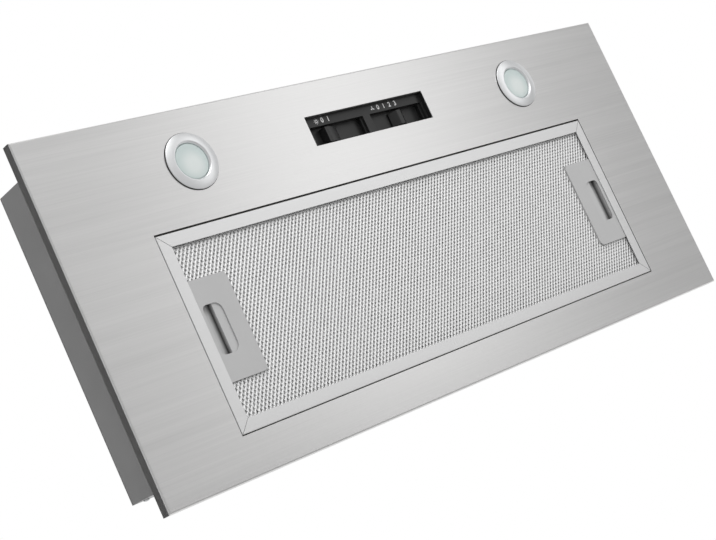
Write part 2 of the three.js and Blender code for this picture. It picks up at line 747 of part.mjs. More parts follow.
const railX = -FILTER_END_X + RAIL_WIDTH;
const channelX = -FILTER_END_X + RAIL_SHEET + SEAT;
const coverZ = FACE_Z + RAIL_SHEET + SEAT;
const sliderZ = coverZ + LATCH_SHEET + SEAT;
const sliderTopZ = sliderZ + SLIDER_SHEET;
const trayTopZ = rearMeshTopZ;
const trayFloorZ = trayTopZ - TRAY_WALL;
const pocketX = railX + SLOT_START - TRAY_WALL;
const fingerHoleX = pocketX - SLIDER_TRAVEL - SLIDE;
const sliderEndX = -latchInnerX - TRAY_WALL - SEAT - SPRING_ROOM - SLIDER_TRAVEL;
const springZ = (sliderZ + trayFloorZ) / 2;

function latchCover() {
  const y0 = FILTER_CENTRE_Y - LATCH_WIDTH / 2;
  const y1 = FILTER_CENTRE_Y + LATCH_WIDTH / 2;
  const plate = roundedRectangle(channelX, railX + LATCH_LENGTH, y0, y1, 0.5, LATCH_CORNER_RADIUS);
  const slot = roundedRectangle(
    railX + SLOT_START,
    railX + SLOT_START + SLOT_LENGTH,
    FILTER_CENTRE_Y - SLOT_WIDTH / 2,
    FILTER_CENTRE_Y + SLOT_WIDTH / 2,
    SLOT_OUTER_RADIUS,
    SLOT_INNER_RADIUS,
  );
  return prism(plate, coverZ, coverZ + LATCH_SHEET, [slot]);
}

// The tray holds the slider behind the cover, between two guide ribs. A low wall behind the outer
// edge of the finger slot closes the pocket towards the rail.
function latchTray() {
  const halfY = LATCH_WIDTH / 2;
  const innerX = -latchInnerX;
  const outer = block(
    channelX,
    innerX,
    FILTER_CENTRE_Y - halfY,
    FILTER_CENTRE_Y + halfY,
    sliderZ,
    trayTopZ,
  );
  const hollow = block(
    channelX + TRAY_WALL,
    innerX - TRAY_WALL,
    FILTER_CENTRE_Y - halfY + TRAY_WALL,
    FILTER_CENTRE_Y + halfY - TRAY_WALL,
    sliderZ - 1,
    trayFloorZ,
  );
  const ribs = [-1, 1].map((side) => centredBlock(
    (innerX - channelX - TRAY_WALL) / 2,
    TRAY_WALL / 2,
    sliderZ,
    trayFloorZ + TRAY_WALL / 2,
    (innerX + channelX) / 2,
    FILTER_CENTRE_Y + side * (SLIDER_WIDTH / 2 + SLIDE + TRAY_WALL / 2),
  ));
  const pocketWall = block(
    pocketX,
    pocketX + TRAY_WALL,
    FILTER_CENTRE_Y - SLOT_WIDTH / 2,
    FILTER_CENTRE_Y + SLOT_WIDTH / 2,
    sliderZ,
    trayFloorZ + TRAY_WALL / 2,
  );
  const mouth = centredBlock(
    TRAY_WALL * 2,
    TONGUE_WIDTH / 2 + SLIDE,
    tongueUnderZ - SLIDE,
    tongueTopZ + SLIDE,
    channelX,
    FILTER_CENTRE_Y,
  );
  return cut(joined(cut(outer, hollow), ribs, pocketWall), mouth);
}

// The slider: a plate with a finger hole, a lug to pull on, a tongue and a spring seat.
function latchSlider() {
  const startX = channelX + TRAY_WALL + SLIDE;
  const lugX = railX + LUG_EDGE;
  const lugTopZ = trayFloorZ - SLIDE;
  const halfY = SLIDER_WIDTH / 2;
  const plate = block(
    startX,
    sliderEndX,
    FILTER_CENTRE_Y - halfY,
    FILTER_CENTRE_Y + halfY,
    sliderZ,
    sliderTopZ,
  );
  const fingerHole = block(
    fingerHoleX,
    lugX,
    FILTER_CENTRE_Y - SLOT_WIDTH / 2 - LUG_THICKNESS,
    FILTER_CENTRE_Y + SLOT_WIDTH / 2 + LUG_THICKNESS,
    sliderZ - 1,
    sliderTopZ + 1,
  );
  const lug = block(
    lugX,
    lugX + LUG_THICKNESS,
    FILTER_CENTRE_Y - SLOT_WIDTH / 2,
    FILTER_CENTRE_Y + SLOT_WIDTH / 2,
    sliderZ,
    lugTopZ,
  );
  const springSeat = centredBlock(
    LUG_THICKNESS / 2,
    SPRING_RADIUS * 4,
    sliderZ,
    lugTopZ,
    sliderEndX - LUG_THICKNESS / 2,
    FILTER_CENTRE_Y,
  );
  const tongueHalfY = TONGUE_WIDTH / 2;
  const shank = block(
    startX,
    fingerHoleX,
    FILTER_CENTRE_Y - tongueHalfY,
    FILTER_CENTRE_Y + tongueHalfY,
    sliderTopZ - SLIDE,
    tongueTopZ,
  );
  const tongue = block(
    -FILTER_END_X - FILTER_END_GAP + SEAT,
    startX + TRAY_WALL,
    FILTER_CENTRE_Y - tongueHalfY,
    FILTER_CENTRE_Y + tongueHalfY,
    tongueUnderZ,
    tongueTopZ,
  );
  return joined(cut(plate, fingerHole), lug, springSeat, shank, tongue);
}

class Helix extends THREE.Curve {
  constructor(radius, length, turns) {
    super();
    Object.assign(this, { radius, length, turns });
  }

  getPoint(t, target = new THREE.Vector3()) {
    const [y, z] = polar(this.radius, t * this.turns * 2 * Math.PI);
    return target.set(t * this.length, y, z);
  }
}

function latchSpring() {
  const startX = sliderEndX + SEAT + SPRING_WIRE_RADIUS;
  const endX = -latchInnerX - TRAY_WALL - SEAT - SPRING_WIRE_RADIUS;
  const path = new Helix(SPRING_RADIUS, endX - startX, SPRING_TURNS);
  const section = new THREE.Shape(circle(SPRING_WIRE_RADIUS, 5).map(([x, y]) => new THREE.Vector2(x, y)));
  const wire = new THREE.ExtrudeGeometry(section, { steps: SPRING_TURNS * 8, extrudePath: path });
  return wire.translate(startX, FILTER_CENTRE_Y, springZ);
}

const latchPieces = {
  latch_cover: [latchCover, greyPlastic],
  latch_tray: [latchTray, greyPlastic],
  latch_slider: [latchSlider, greyPlastic],
  latch_spring: [latchSpring, zincSteel],
};
for (const [name, [shape, material]] of Object.entries(latchPieces)) {
  place(`${name}_left`, shape(), material);
  place(`${name}_right`, mirroredX(facingOut(joined(shape()))), material);
}

// ---------------------------------------------------------------- lamps

const lampCrestZ = FACE_Z - LAMP_RISE;
const lampLensZ = lampCrestZ + LAMP_RECESS;
const lampLedgeZ = FACE_Z + SEAT;
const lampTubeTopZ = FACE_Z + LAMP_TUBE_HEIGHT;
const lampTubeBore = LAMP_BODY_RADIUS - LAMP_WALL;
const lampCupZ = lampTubeTopZ + SEAT;
const lampBoardZ = lampTubeTopZ - LAMP_WALL - SEAT;

const lampRing = () => turned([
  [LAMP_RING_RADIUS, FACE_Z - SEAT],
  [LAMP_RING_RADIUS, FACE_Z - LAMP_RISE * LAMP_EDGE],
  [LAMP_CREST_RADIUS, lampCrestZ],
  [LAMP_CREST_RADIUS - LAMP_WALL, lampCrestZ],
  [LAMP_LENS_RADIUS + SEAT, lampLensZ - LAMP_RECESS / 3],
  [LAMP_LENS_RADIUS + SEAT, lampLedgeZ],
  [lampTubeBore, lampLedgeZ],
  [lampTubeBore, lampTubeTopZ],
  [LAMP_BODY_RADIUS, lampTubeTopZ],
  [LAMP_BODY_RADIUS, FACE_Z - SEAT],
], LAMP_SIDES);

const lampLens = () => turned([
  [0, lampLensZ],
  [LAMP_LENS_RADIUS, lampLensZ],
  [LAMP_LENS_RADIUS, lampLedgeZ + SEAT],
  [lampTubeBore - SEAT, lampLedgeZ + SEAT],
  [lampTubeBore - SEAT, lampLedgeZ + LAMP_WALL],
  [0, lampLedgeZ + LAMP_WALL],
], LAMP_SIDES);

const lampCup = () => turned([
  [0, lampCupZ + LAMP_CUP_HEIGHT],
  [LAMP_BODY_RADIUS * LAMP_CUP_TAPER, lampCupZ + LAMP_CUP_HEIGHT],
  [LAMP_BODY_RADIUS, lampCupZ + LAMP_CUP_HEIGHT * LAMP_CUP_SHOULDER],
  [LAMP_BODY_RADIUS, lampCupZ],
  [lampTubeBore, lampCupZ],
  [lampTubeBore, lampCupZ + LAMP_CUP_HEIGHT * LAMP_CUP_SHOULDER - LAMP_WALL],
  [lampTubeBore * LAMP_CUP_TAPER, lampCupZ + LAMP_CUP_HEIGHT - LAMP_WALL],
  [0, lampCupZ + LAMP_CUP_HEIGHT - LAMP_WALL],
], LAMP_CUP_SIDES);

function lampBoard() {
  const [chipLength, chipWidth, chipHeight] = CHIP_SIZE;
  const chips = Array.from({ length: LAMP_CHIPS }, (_, i) => {
    const [x, y] = polar(LAMP_LENS_RADIUS * CHIP_RING, (i / LAMP_CHIPS) * 2 * Math.PI);
    const foot = lampBoardZ + SEAT / 3;
    return centredBlock(chipLength / 2, chipWidth / 2, lampBoardZ - chipHeight, foot, x, y);
  });
  const board = drill(lampTubeBore - SEAT, 0, 0, lampBoardZ, lampBoardZ + LAMP_BOARD_SHEET, LAMP_CUP_SIDES);
  return joined(board, chips);
}

// A spring strap over the cup, whose legs spread down to the panel's back and hold the lamp up.
function lampClip() {
  const shoulder = LAMP_BODY_RADIUS + SEAT;
  const ankle = shoulder + CLIP_SPREAD;
  const toe = ankle + CLIP_FOOT;
  const foot = WALL_FOOT_Z;
  const top = lampCupZ + LAMP_CUP_HEIGHT + SEAT;
  const inside = [[toe, foot], [ankle, foot], [shoulder, top]];
  const outside = [[shoulder + CLIP_SHEET, top], [ankle + CLIP_SHEET, foot], [toe, foot]]
    .map(([x, z]) => [x, z + CLIP_SHEET]);
  const half = [...inside.reverse(), ...outside.reverse()];
  const otherHalf = half.map(([x, z]) => [-x, z]).reverse();
  return alongX(prism([...half, ...otherHalf], -CLIP_WIDTH / 2, CLIP_WIDTH / 2)).rotateZ(RIGHT_ANGLE);
}

for (const [side, x] of [['left', -LAMP_X], ['right', LAMP_X]]) {
  place(`lamp_ring_${side}`, lampRing().translate(x, LAMP_Y, 0), chrome);
  place(`lamp_lens_${side}`, lampLens().translate(x, LAMP_Y, 0), frostedGlass);
  place(`lamp_board_${side}`, lampBoard().translate(x, LAMP_Y, 0), boardGreen);
  place(`lamp_cup_${side}`, lampCup().translate(x, LAMP_Y, 0), whitePlastic);
  place(`lamp_clip_${side}`, lampClip().translate(x, LAMP_Y, 0), zincSteel);
}

// ---------------------------------------------------------------- controls

const windowX0 = SWITCH_X - WINDOW_LENGTH / 2;
const windowX1 = SWITCH_X + WINDOW_LENGTH / 2;
const windowRearY = WINDOW_FRONT_Y + WINDOW_WIDTH;
const mouthFrontY = WINDOW_FRONT_Y + MOUTH_INSET;
const slotFrontY = WINDOW_FRONT_Y + LABEL_WIDTH;
const dividerX0 = SWITCH_X + DIVIDER_SHIFT - SLOT_DIVIDER / 2;
const dividerX1 = dividerX0 + SLOT_DIVIDER;
const labelZ = FACE_Z + LABEL_DEPTH;
const slotLedgeZ = FACE_Z + SLOT_LEDGE_DEPTH;
const trackZ = FACE_Z + TRACK_DEPTH;
const bezelTopZ = trackZ + TRACK_FLOOR;
const stemRearY = windowRearY - SLIDE;
const stemFrontY = stemRearY - STEM_WIDTH;

const switchTracks = [
  {
    name: 'light_slider',
    gripX: LIGHT_GRIP_X,
    ramps: LIGHT_RAMPS,
    travel: [0, SWITCH_STEP],
    slot: [windowX0, dividerX0],
  },
  {
    name: 'fan_slider',
    gripX: FAN_GRIP_X,
    ramps: FAN_RAMPS,
    travel: [-FAN_STEPS * SWITCH_STEP, 0],
    slot: [dividerX1, windowX1 - SLOT_END_MARGIN],
  },
];

// The way of a slider's stem along its slot, over which its slit and its channel are cut.
function stemWay({ gripX, travel }, z0, z1) {
  return block(
    gripX - STEM_LENGTH / 2 + travel[0] - SLIDE,
    gripX + STEM_LENGTH / 2 + travel[1] + SLIDE,
    stemFrontY - SLIDE,
    windowRearY,
    z0,
    z1,
  );
}

function switchBezel() {
  const shell = block(
    windowX0 - BEZEL_WALL,
    windowX1 + BEZEL_WALL,
    mouthFrontY - BEZEL_WALL,
    windowRearY + BEZEL_WALL,
    WALL_FOOT_Z,
    bezelTopZ,
  );
  const mouth = block(windowX0, windowX1, mouthFrontY, windowRearY, WALL_FOOT_Z - 1, labelZ);
  const slots = switchTracks.flatMap(({ slot: [x0, x1] }) => [
    block(x0, x1, slotFrontY, windowRearY, WALL_FOOT_Z, slotLedgeZ),
    block(x0, x1 - SLOT_LEDGE_WIDTH, slotFrontY, windowRearY, WALL_FOOT_Z, trackZ),
  ]);
  const hollows = [
    block(windowX0, windowX1, mouthFrontY, slotFrontY - BEZEL_WALL, labelZ + LABEL_SHEET, bezelTopZ + 1),
    block(
      dividerX0 + BEZEL_WALL,
      dividerX1 - BEZEL_WALL,
      slotFrontY - BEZEL_WALL * 2,
      windowRearY,
      labelZ + LABEL_SHEET,
      bezelTopZ + 1,
    ),
  ];
  const slits = switchTracks.map((track) => stemWay(track, trackZ - 1, bezelTopZ + 1));
  return cut(shell, mouth, slots, hollows, slits);
}

place('switch_bezel', switchBezel(), blackPlastic);

// A finger grip: a ridge with a ramp on each side, on a foot whose stem goes through the slit.
function switchSlider({ gripX, ramps }) {
  const footTopZ = trackZ - SEAT;
  const footZ = footTopZ - GRIP_FOOT_SHEET;
  const gripFrontY = slotFrontY + GRIP_CLEARANCE;
  const ridgeX0 = gripX - GRIP_RIDGE / 2;
  const ridgeX1 = gripX + GRIP_RIDGE / 2;
  const footX0 = ridgeX0 - ramps[0];
  const footX1 = ridgeX1 + ramps[1];
  const ridgeZ = FACE_Z + GRIP_TOP_DEPTH;
  const ridge = prism([[footX0, -footZ], [footX1, -footZ], [ridgeX1, -ridgeZ], [ridgeX0, -ridgeZ]], 0, GRIP_WIDTH)
    .rotateX(-RIGHT_ANGLE);
  return joined(
    ridge.translate(0, gripFrontY, 0),
    block(footX0, footX1, gripFrontY, stemRearY, footZ, footTopZ),
    block(
      gripX - STEM_LENGTH / 2,
      gripX + STEM_LENGTH / 2,
      stemFrontY,
      stemRearY,
      footTopZ - GRIP_FOOT_SHEET / 2,
      footTopZ + STEM_DEPTH,
    ),
  );
}

for (const track of switchTracks) {
  place(track.name, switchSlider(track), charcoalPlastic);
}

const switchBlockZ = bezelTopZ + SEAT;
const switchBlockTopZ = switchBlockZ + SWITCH_BLOCK_HEIGHT;
const terminalPlaces = Array.from(
  { length: TERMINAL_COUNT },
  (_, i) => SWITCH_X + (i - (TERMINAL_COUNT - 1) / 2) * TERMINAL_PITCH,
);

function switchBlock() {
  const body = block(
    windowX0,
    windowX1,
    mouthFrontY,
    windowRearY + BEZEL_WALL,
    switchBlockZ,
    switchBlockTopZ,
  );
  const channels = switchTracks.map((track) => stemWay(track, switchBlockZ - 1, trackZ + STEM_DEPTH + SLIDE));
  const terminals = terminalPlaces.map((x) => centredBlock(
    TERMINAL_BLADE_WIDTH / 2,
    TERMINAL_BLADE_SHEET / 2,
    switchBlockTopZ - 1,
    switchBlockTopZ + TERMINAL_BLADE_LENGTH,
    x,
    SWITCH_Y,
  ));
  return joined(cut(body, channels), terminals);
}

place('switch_block', switchBlock(), blackPlastic);

// ---------------------------------------------------------------- blower chamber

const lidUnderZ = CHAMBER_TOP_Z - CASING_SHEET;
const chamberHeadZ = lidUnderZ - SEAT;
const chamberHoles = () => screwHoles(chamberScrewPlaces, CHAMBER_FOOT_Z - 1, CHAMBER_FOOT_Z + 2);

// A wall across the chamber's front or rear with its foot turned outwards.
function chamberLongWall(y, outward) {
  const web = [y, y - outward * CASING_SHEET].sort((a, b) => a - b);
  const foot = [y - outward * CASING_SHEET, y + outward * CHAMBER_FLANGE].sort((a, b) => a - b);
  return cut(
    joined(
      block(-CHAMBER_END_X, CHAMBER_END_X, ...web, CHAMBER_FOOT_Z, chamberHeadZ),
      block(-CHAMBER_END_X, CHAMBER_END_X, ...foot, CHAMBER_FOOT_Z, CHAMBER_FOOT_Z + CASING_SHEET),
    ),
    chamberHoles(),
  );
}

function chamberSide() {
  const y0 = CHAMBER_FRONT_Y + CASING_SHEET + SEAT;
  const y1 = CHAMBER_REAR_Y - CASING_SHEET - SEAT;
  const outer = -CHAMBER_END_X - CHAMBER_FLANGE;
  const inner = -CHAMBER_END_X + CASING_SHEET;
  return cut(
    joined(
      block(-CHAMBER_END_X, inner, y0, y1, CHAMBER_FOOT_Z, chamberHeadZ),
      block(outer, inner, y0, y1, CHAMBER_FOOT_Z, CHAMBER_FOOT_Z + CASING_SHEET),
    ),
    chamberHoles(),
  );
}

const collarScrewPlaces = [0, 1, 2, 3].map((i) =>
  polar((COLLAR_RADIUS + COLLAR_FLANGE_RADIUS) / 2, (i + 0.5) * RIGHT_ANGLE, 0, COLLAR_Y));

// The lid: a plate with a turned-down rim and the duct hole.
function chamberLid() {
  const rim = CASING_SHEET + SEAT;
  const outer = centredBlock(
    CHAMBER_END_X + rim,
    chamberHalfY + rim,
    lidUnderZ - CHAMBER_RIM,
    CHAMBER_TOP_Z,
    0,
    chamberCentreY,
  );
  const hollow = centredBlock(
    CHAMBER_END_X + SEAT,
    chamberHalfY + SEAT,
    lidUnderZ - CHAMBER_RIM - 1,
    lidUnderZ,
    0,
    chamberCentreY,
  );
  const through = [lidUnderZ - 1, CHAMBER_TOP_Z + 1];
  const duct = drill(COLLAR_RADIUS - COLLAR_WALL, 0, COLLAR_Y, ...through, COLLAR_SIDES);
  return cut(outer, hollow, duct, screwHoles(collarScrewPlaces, ...through));
}

place('chamber_front_wall', chamberLongWall(CHAMBER_FRONT_Y, -1), greySteel);
place('chamber_rear_wall', chamberLongWall(CHAMBER_REAR_Y, 1), greySteel);
place('chamber_side_left', chamberSide(), greySteel);
place('chamber_side_right', mirroredX(chamberSide()), greySteel);
place('chamber_lid', chamberLid(), greySteel);

// ---------------------------------------------------------------- blower scroll
// Drawn in (y, z) round the wheel's axis: it widens from the cut-off, round below, to the throat.

const scrollTopZ = lidUnderZ - SEAT;
const throatTop = scrollTopZ - WHEEL_Z;
const scrollStart = THREE.MathUtils.degToRad(SCROLL_START_ANGLE);

function scrollCurve(grow) {
  return Array.from({ length: SCROLL_STEPS + 1 }, (_, i) => {
    const t = i / SCROLL_STEPS;
    const radius = SCROLL_START_RADIUS + t * (SCROLL_END_RADIUS - SCROLL_START_RADIUS) + grow;
    return polar(radius, scrollStart + t * (2 * Math.PI - scrollStart));
  });
}

const throatInner = SCROLL_START_RADIUS * Math.cos(scrollStart);

// The line that lies grow outside the wrap's inner skin, from the throat round to the throat.
function scrollLine(grow) {
  const y = throatInner - grow;
  const cutOff = Math.sqrt((SCROLL_START_RADIUS + grow) ** 2 - y ** 2);
  const farSide = [SCROLL_END_RADIUS + grow, throatTop];
  return [[y, throatTop], [y, cutOff], ...scrollCurve(grow).slice(1), farSide];
}

const atWheel = (geometry) => geometry.translate(0, WHEEL_Y, WHEEL_Z);

function scrollWrap() {
  const outline = [...scrollLine(0), ...scrollLine(SCROLL_SHEET).reverse()];
  const halfX = SCROLL_LENGTH / 2;
  const foot = throatTop - SCROLL_SHEET;
  const flanges = [
    block(-halfX, halfX, throatInner - SCROLL_FLANGE, throatInner, foot, throatTop),
    block(-halfX, halfX, SCROLL_END_RADIUS, SCROLL_END_RADIUS + SCROLL_FLANGE, foot, throatTop),
  ];
  return atWheel(joined(alongX(prism(outline, -halfX, halfX)), flanges));
}

function scrollSide() {
  const x0 = -SCROLL_LENGTH / 2 - SEAT - SCROLL_SHEET;
  const inlet = circle(INLET_RADIUS, INLET_SIDES);
  const plate = alongX(prism(scrollLine(SCROLL_EDGE), x0, x0 + SCROLL_SHEET, [inlet]));
  const lip = alongX(prism(
    circle(INLET_RADIUS + SCROLL_SHEET, INLET_SIDES),
    x0 - INLET_LIP,
    x0 + SCROLL_SHEET / 2,
    [inlet],
  ));
  return atWheel(joined(plate, lip));
}

place('scroll_wrap', scrollWrap(), zincSteel);
place('scroll_side_left', scrollSide(), zincSteel);
place('scroll_side_right', mirroredX(scrollSide()), zincSteel);

// ---------------------------------------------------------------- wheel and motor

// One forward-curved blade, in (y, z).
function bladeOutline() {
  const steps = 2;
  const spread = BLADE_THICKNESS / 2;
  const line = (side) => Array.from({ length: steps + 1 }, (_, i) => {
    const t = i / steps;
    const depth = WHEEL_RADIUS - WHEEL_BORE_RADIUS - 2 * BLADE_INSET;
    const radius = WHEEL_BORE_RADIUS + BLADE_INSET + t * depth;
    const lean = THREE.MathUtils.degToRad(BLADE_SWEEP) * t * t;
    return polar(radius, lean + (side * spread) / radius);
  });
  return [...line(-1), ...line(1).reverse()];
}

function blowerWheel() {
  const halfX = WHEEL_LENGTH / 2;
  const blade = alongX(prism(bladeOutline(), -halfX + WHEEL_RING / 2, halfX - WHEEL_RING / 2));
  const blades = Array.from({ length: WHEEL_BLADES }, (_, i) =>
    blade.clone().rotateX((i / WHEEL_BLADES) * 2 * Math.PI));
  const outer = circle(WHEEL_RADIUS, WHEEL_BLADES * 2);
  const inner = circle(WHEEL_BORE_RADIUS, WHEEL_BLADES * 2);
  const rim = (x0) => alongX(prism(outer, x0, x0 + WHEEL_RING, [inner]));
  const bore = circle(SHAFT_RADIUS + SEAT, SHAFT_SIDES);
  const disc = alongX(prism(outer, -WHEEL_DISC / 2, WHEEL_DISC / 2, [bore]));
  const hub = alongX(prism(circle(HUB_RADIUS, SHAFT_SIDES), -HUB_LENGTH, 0, [bore]));
  return atWheel(joined(disc, hub, rim(-halfX), rim(halfX - WHEEL_RING), blades));
}

place('blower_wheel', blowerWheel(), darkSteel);

const motorEndX = MOTOR_START_X + MOTOR_LENGTH;
const turnedAlongX = (profile, sides) => atWheel(alongX(turned(profile, sides)));

place(
  'motor_shaft',
  turnedAlongX([
    [0, -HUB_LENGTH - SHAFT_END],
    [SHAFT_RADIUS, -HUB_LENGTH - SHAFT_END],
    [SHAFT_RADIUS, motorEndX + SHAFT_END],
    [0, motorEndX + SHAFT_END],
  ], SHAFT_SIDES),
  zincSteel,
);

const motorBore = SHAFT_RADIUS + SLIDE;
const bearingPocket = BEARING_RADIUS + SEAT;

place(
  'motor_body',
  turnedAlongX([
    [bearingPocket, MOTOR_START_X],
    [MOTOR_RADIUS * MOTOR_TAPER, MOTOR_START_X],
    [MOTOR_RADIUS, MOTOR_START_X + MOTOR_LENGTH * MOTOR_SHOULDER],
    [MOTOR_RADIUS, motorEndX - MOTOR_LENGTH * MOTOR_SHOULDER],
    [MOTOR_RADIUS * MOTOR_TAPER, motorEndX],
    [bearingPocket, motorEndX],
    [bearingPocket, motorEndX - BEARING_LENGTH - SEAT],
    [motorBore, motorEndX - BEARING_LENGTH - SEAT],
    [motorBore, MOTOR_START_X + BEARING_LENGTH + SEAT],
    [bearingPocket, MOTOR_START_X + BEARING_LENGTH + SEAT],
  ], MOTOR_SIDES),
  darkSteel,
);

const bearing = (x0) => turnedAlongX([
  [motorBore, x0],
  [BEARING_RADIUS, x0],
  [BEARING_RADIUS, x0 + BEARING_LENGTH],
  [motorBore, x0 + BEARING_LENGTH],
], SHAFT_SIDES);

place('motor_bearing_left', bearing(MOTOR_START_X), brass);
place('motor_bearing_right', bearing(motorEndX - BEARING_LENGTH), brass);

// A clamp ring round the motor and three arms to the inlet's side plate.
function motorBracket() {
  const x0 = SCROLL_LENGTH / 2 + SCROLL_SHEET + INLET_LIP + 2 * SEAT;
  const ringRadius = MOTOR_RADIUS + SEAT;
  const ring = prism(
    circle(ringRadius + ARM_SHEET, MOTOR_SIDES),
    x0,
    x0 + ARM_WIDTH / 2,
    [circle(ringRadius, MOTOR_SIDES)],
  );
  const arms = [0, 1, 2].map((i) => joined(
    block(
      ringRadius + ARM_SHEET / 2,
      ARM_REACH + ARM_SHEET / 2,
      -ARM_WIDTH / 2,
      ARM_WIDTH / 2,
      x0,
      x0 + ARM_SHEET,
    ),
    block(
      ARM_REACH,
      ARM_REACH + ARM_SHEET,
      -ARM_WIDTH / 2,
      ARM_WIDTH / 2,
      x0 - INLET_LIP - SEAT,
      x0 + ARM_SHEET,
    ),
  ).rotateZ((i / 3) * 2 * Math.PI + RIGHT_ANGLE));
  return atWheel(alongX(joined(ring, arms)));
}

place('motor_bracket', motorBracket(), zincSteel);

// ---------------------------------------------------------------- duct collar and flaps

const collarFootZ = CHAMBER_TOP_Z + SEAT;
const collarBore = COLLAR_RADIUS - COLLAR_WALL;
const ledgeTopZ = collarFootZ + LEDGE_RISE + LEDGE_HEIGHT;
const flapZ = ledgeTopZ + SEAT;
const pinZ = flapZ + KNUCKLE_RADIUS;

function ductCollar() {
  const ring = turned([
    [collarBore, collarFootZ],
    [COLLAR_FLANGE_RADIUS, collarFootZ],
    [COLLAR_FLANGE_RADIUS, collarFootZ + COLLAR_FLANGE_SHEET],
    [COLLAR_RADIUS, collarFootZ + COLLAR_FLANGE_SHEET],
    [COLLAR_RADIUS, collarFootZ + COLLAR_HEIGHT],
    [collarBore, collarFootZ + COLLAR_HEIGHT],
    [collarBore, ledgeTopZ],
    [collarBore - LEDGE_WIDTH, ledgeTopZ],
    [collarBore - LEDGE_WIDTH, ledgeTopZ - LEDGE_HEIGHT],
    [collarBore, ledgeTopZ - LEDGE_HEIGHT],
  ], COLLAR_SIDES, 0, COLLAR_Y);
  const pinHole = alongX(prism(circle(PIN_RADIUS + SEAT, 8), -COLLAR_RADIUS - 1, COLLAR_RADIUS + 1))
    .translate(0, COLLAR_Y, pinZ);
  const holes = screwHoles(collarScrewPlaces, collarFootZ - 1, collarFootZ + COLLAR_FLANGE_SHEET + 1);
  return cut(ring, pinHole, holes);
}

place('duct_collar', ductCollar(), blackPlastic);
place(
  'damper_pin',
  alongX(prism(circle(PIN_RADIUS, 10), -COLLAR_RADIUS, COLLAR_RADIUS)).translate(0, COLLAR_Y, pinZ),
  zincSteel,
);

// A half disc beside the pin, with two knuckles on it. firstKnuckle sets the knuckles' places.
function damperFlap(side, firstKnuckle) {
  const radius = collarBore - FLAP_CLEARANCE;
  const start = Math.asin(KNUCKLE_RADIUS / radius);
  const arc = Array.from({ length: FLAP_STEPS + 1 }, (_, i) =>
    polar(radius, start + (i / FLAP_STEPS) * (Math.PI - 2 * start)));
  const outline = arc.map(([x, y]) => [x, side * y]);
  const plate = prism(side > 0 ? outline : outline.reverse(), flapZ, flapZ + FLAP_SHEET);
  const knuckles = [0, 1].map((i) => {
    const x0 = firstKnuckle + i * 4 * KNUCKLE_PITCH;
    const barrel = prism(circle(KNUCKLE_RADIUS, KNUCKLE_SIDES), x0, x0 + KNUCKLE_LENGTH);
    const web = block(
      0,
      KNUCKLE_RADIUS + FLAP_SHEET,
      -KNUCKLE_RADIUS,
      -KNUCKLE_RADIUS + FLAP_SHEET,
      x0,
      x0 + KNUCKLE_LENGTH,
    );
    const bore = prism(circle(PIN_RADIUS + SEAT, KNUCKLE_SIDES), x0 - 1, x0 + KNUCKLE_LENGTH + 1);
    const knuckle = alongX(cut(joined(barrel, web), bore));
    return (side > 0 ? knuckle : knuckle.rotateZ(Math.PI).translate(2 * x0 + KNUCKLE_LENGTH, 0, 0))
      .translate(0, 0, pinZ);
  });
  return joined(plate, knuckles).translate(0, COLLAR_Y, 0);
}

const frontKnuckleX = -2 * KNUCKLE_PITCH - KNUCKLE_LENGTH / 2;
place('damper_flap_front', damperFlap(-1, frontKnuckleX), aluminium);
place('damper_flap_rear', damperFlap(1, frontKnuckleX + KNUCKLE_PITCH), aluminium);

// ---------------------------------------------------------------- electrics on the deck

const boxFootZ = CASING_TOP_Z + SEAT;
const boxHeadZ = boxFootZ + BOX_HEIGHT;
const glandZ = boxFootZ + BOX_HEIGHT / 2;

function terminalBox() {
  const shell = centredBlock(BOX_LENGTH / 2, BOX_WIDTH / 2, boxFootZ, boxHeadZ, BOX_X, BOX_Y);
  const hollow = centredBlock(
    BOX_LENGTH / 2 - BOX_WALL,
    BOX_WIDTH / 2 - BOX_WALL,
    boxFootZ + BOX_WALL,
    boxHeadZ + 1,
    BOX_X,
    BOX_Y,
  );
  const glandHole = alongX(prism(circle(GLAND_RADIUS * GLAND_NECK + SEAT, GLAND_SIDES), 0, BOX_WALL * 3))
    .translate(BOX_X + BOX_LENGTH / 2 - BOX_WALL * 2, BOX_Y, glandZ);
  return cut(shell, hollow, glandHole);
}

const terminalLid = () => joined(
  centredBlock(
    BOX_LENGTH / 2,
    BOX_WIDTH / 2,
    boxHeadZ + SEAT,
    boxHeadZ + SEAT + BOX_WALL,
    BOX_X,
    BOX_Y,
  ),
  centredBlock(
    BOX_LENGTH / 2 - BOX_WALL - SEAT,
    BOX_WIDTH / 2 - BOX_WALL - SEAT,
    boxHeadZ - BOX_WALL,
    boxHeadZ + SEAT + BOX_WALL / 2,
    BOX_X,
    BOX_Y,
  ),
);

// A gland in the box's end wall, with a free bore for the supply cord.
function cableGland() {
  const x0 = BOX_X + BOX_LENGTH / 2;
  const profile = [
    [GLAND_BORE_RADIUS, -BOX_WALL - GLAND_TAIL],
    [GLAND_RADIUS * GLAND_NECK, -BOX_WALL - GLAND_TAIL],
    [GLAND_RADIUS * GLAND_NECK, SEAT],
    [GLAND_RADIUS, SEAT],
    [GLAND_RADIUS, GLAND_LENGTH * GLAND_NUT],
    [GLAND_RADIUS * GLAND_NECK, GLAND_LENGTH],
    [GLAND_BORE_RADIUS, GLAND_LENGTH],
  ];
  return alongX(turned(profile, GLAND_SIDES)).translate(x0, BOX_Y, glandZ);
}

place('terminal_box', terminalBox(), blackPlastic);
place('terminal_box_lid', terminalLid(), blackPlastic);
place('cable_gland', cableGland(), blackPlastic);

const capacitorZ = CASING_TOP_Z + SEAT + CAPACITOR_RADIUS;

place(
  'capacitor',
  alongX(prism(circle(CAPACITOR_RADIUS, 20), -CAPACITOR_LENGTH / 2, CAPACITOR_LENGTH / 2))
    .translate(CAPACITOR_X, CAPACITOR_Y, capacitorZ),
  whitePlastic,
);

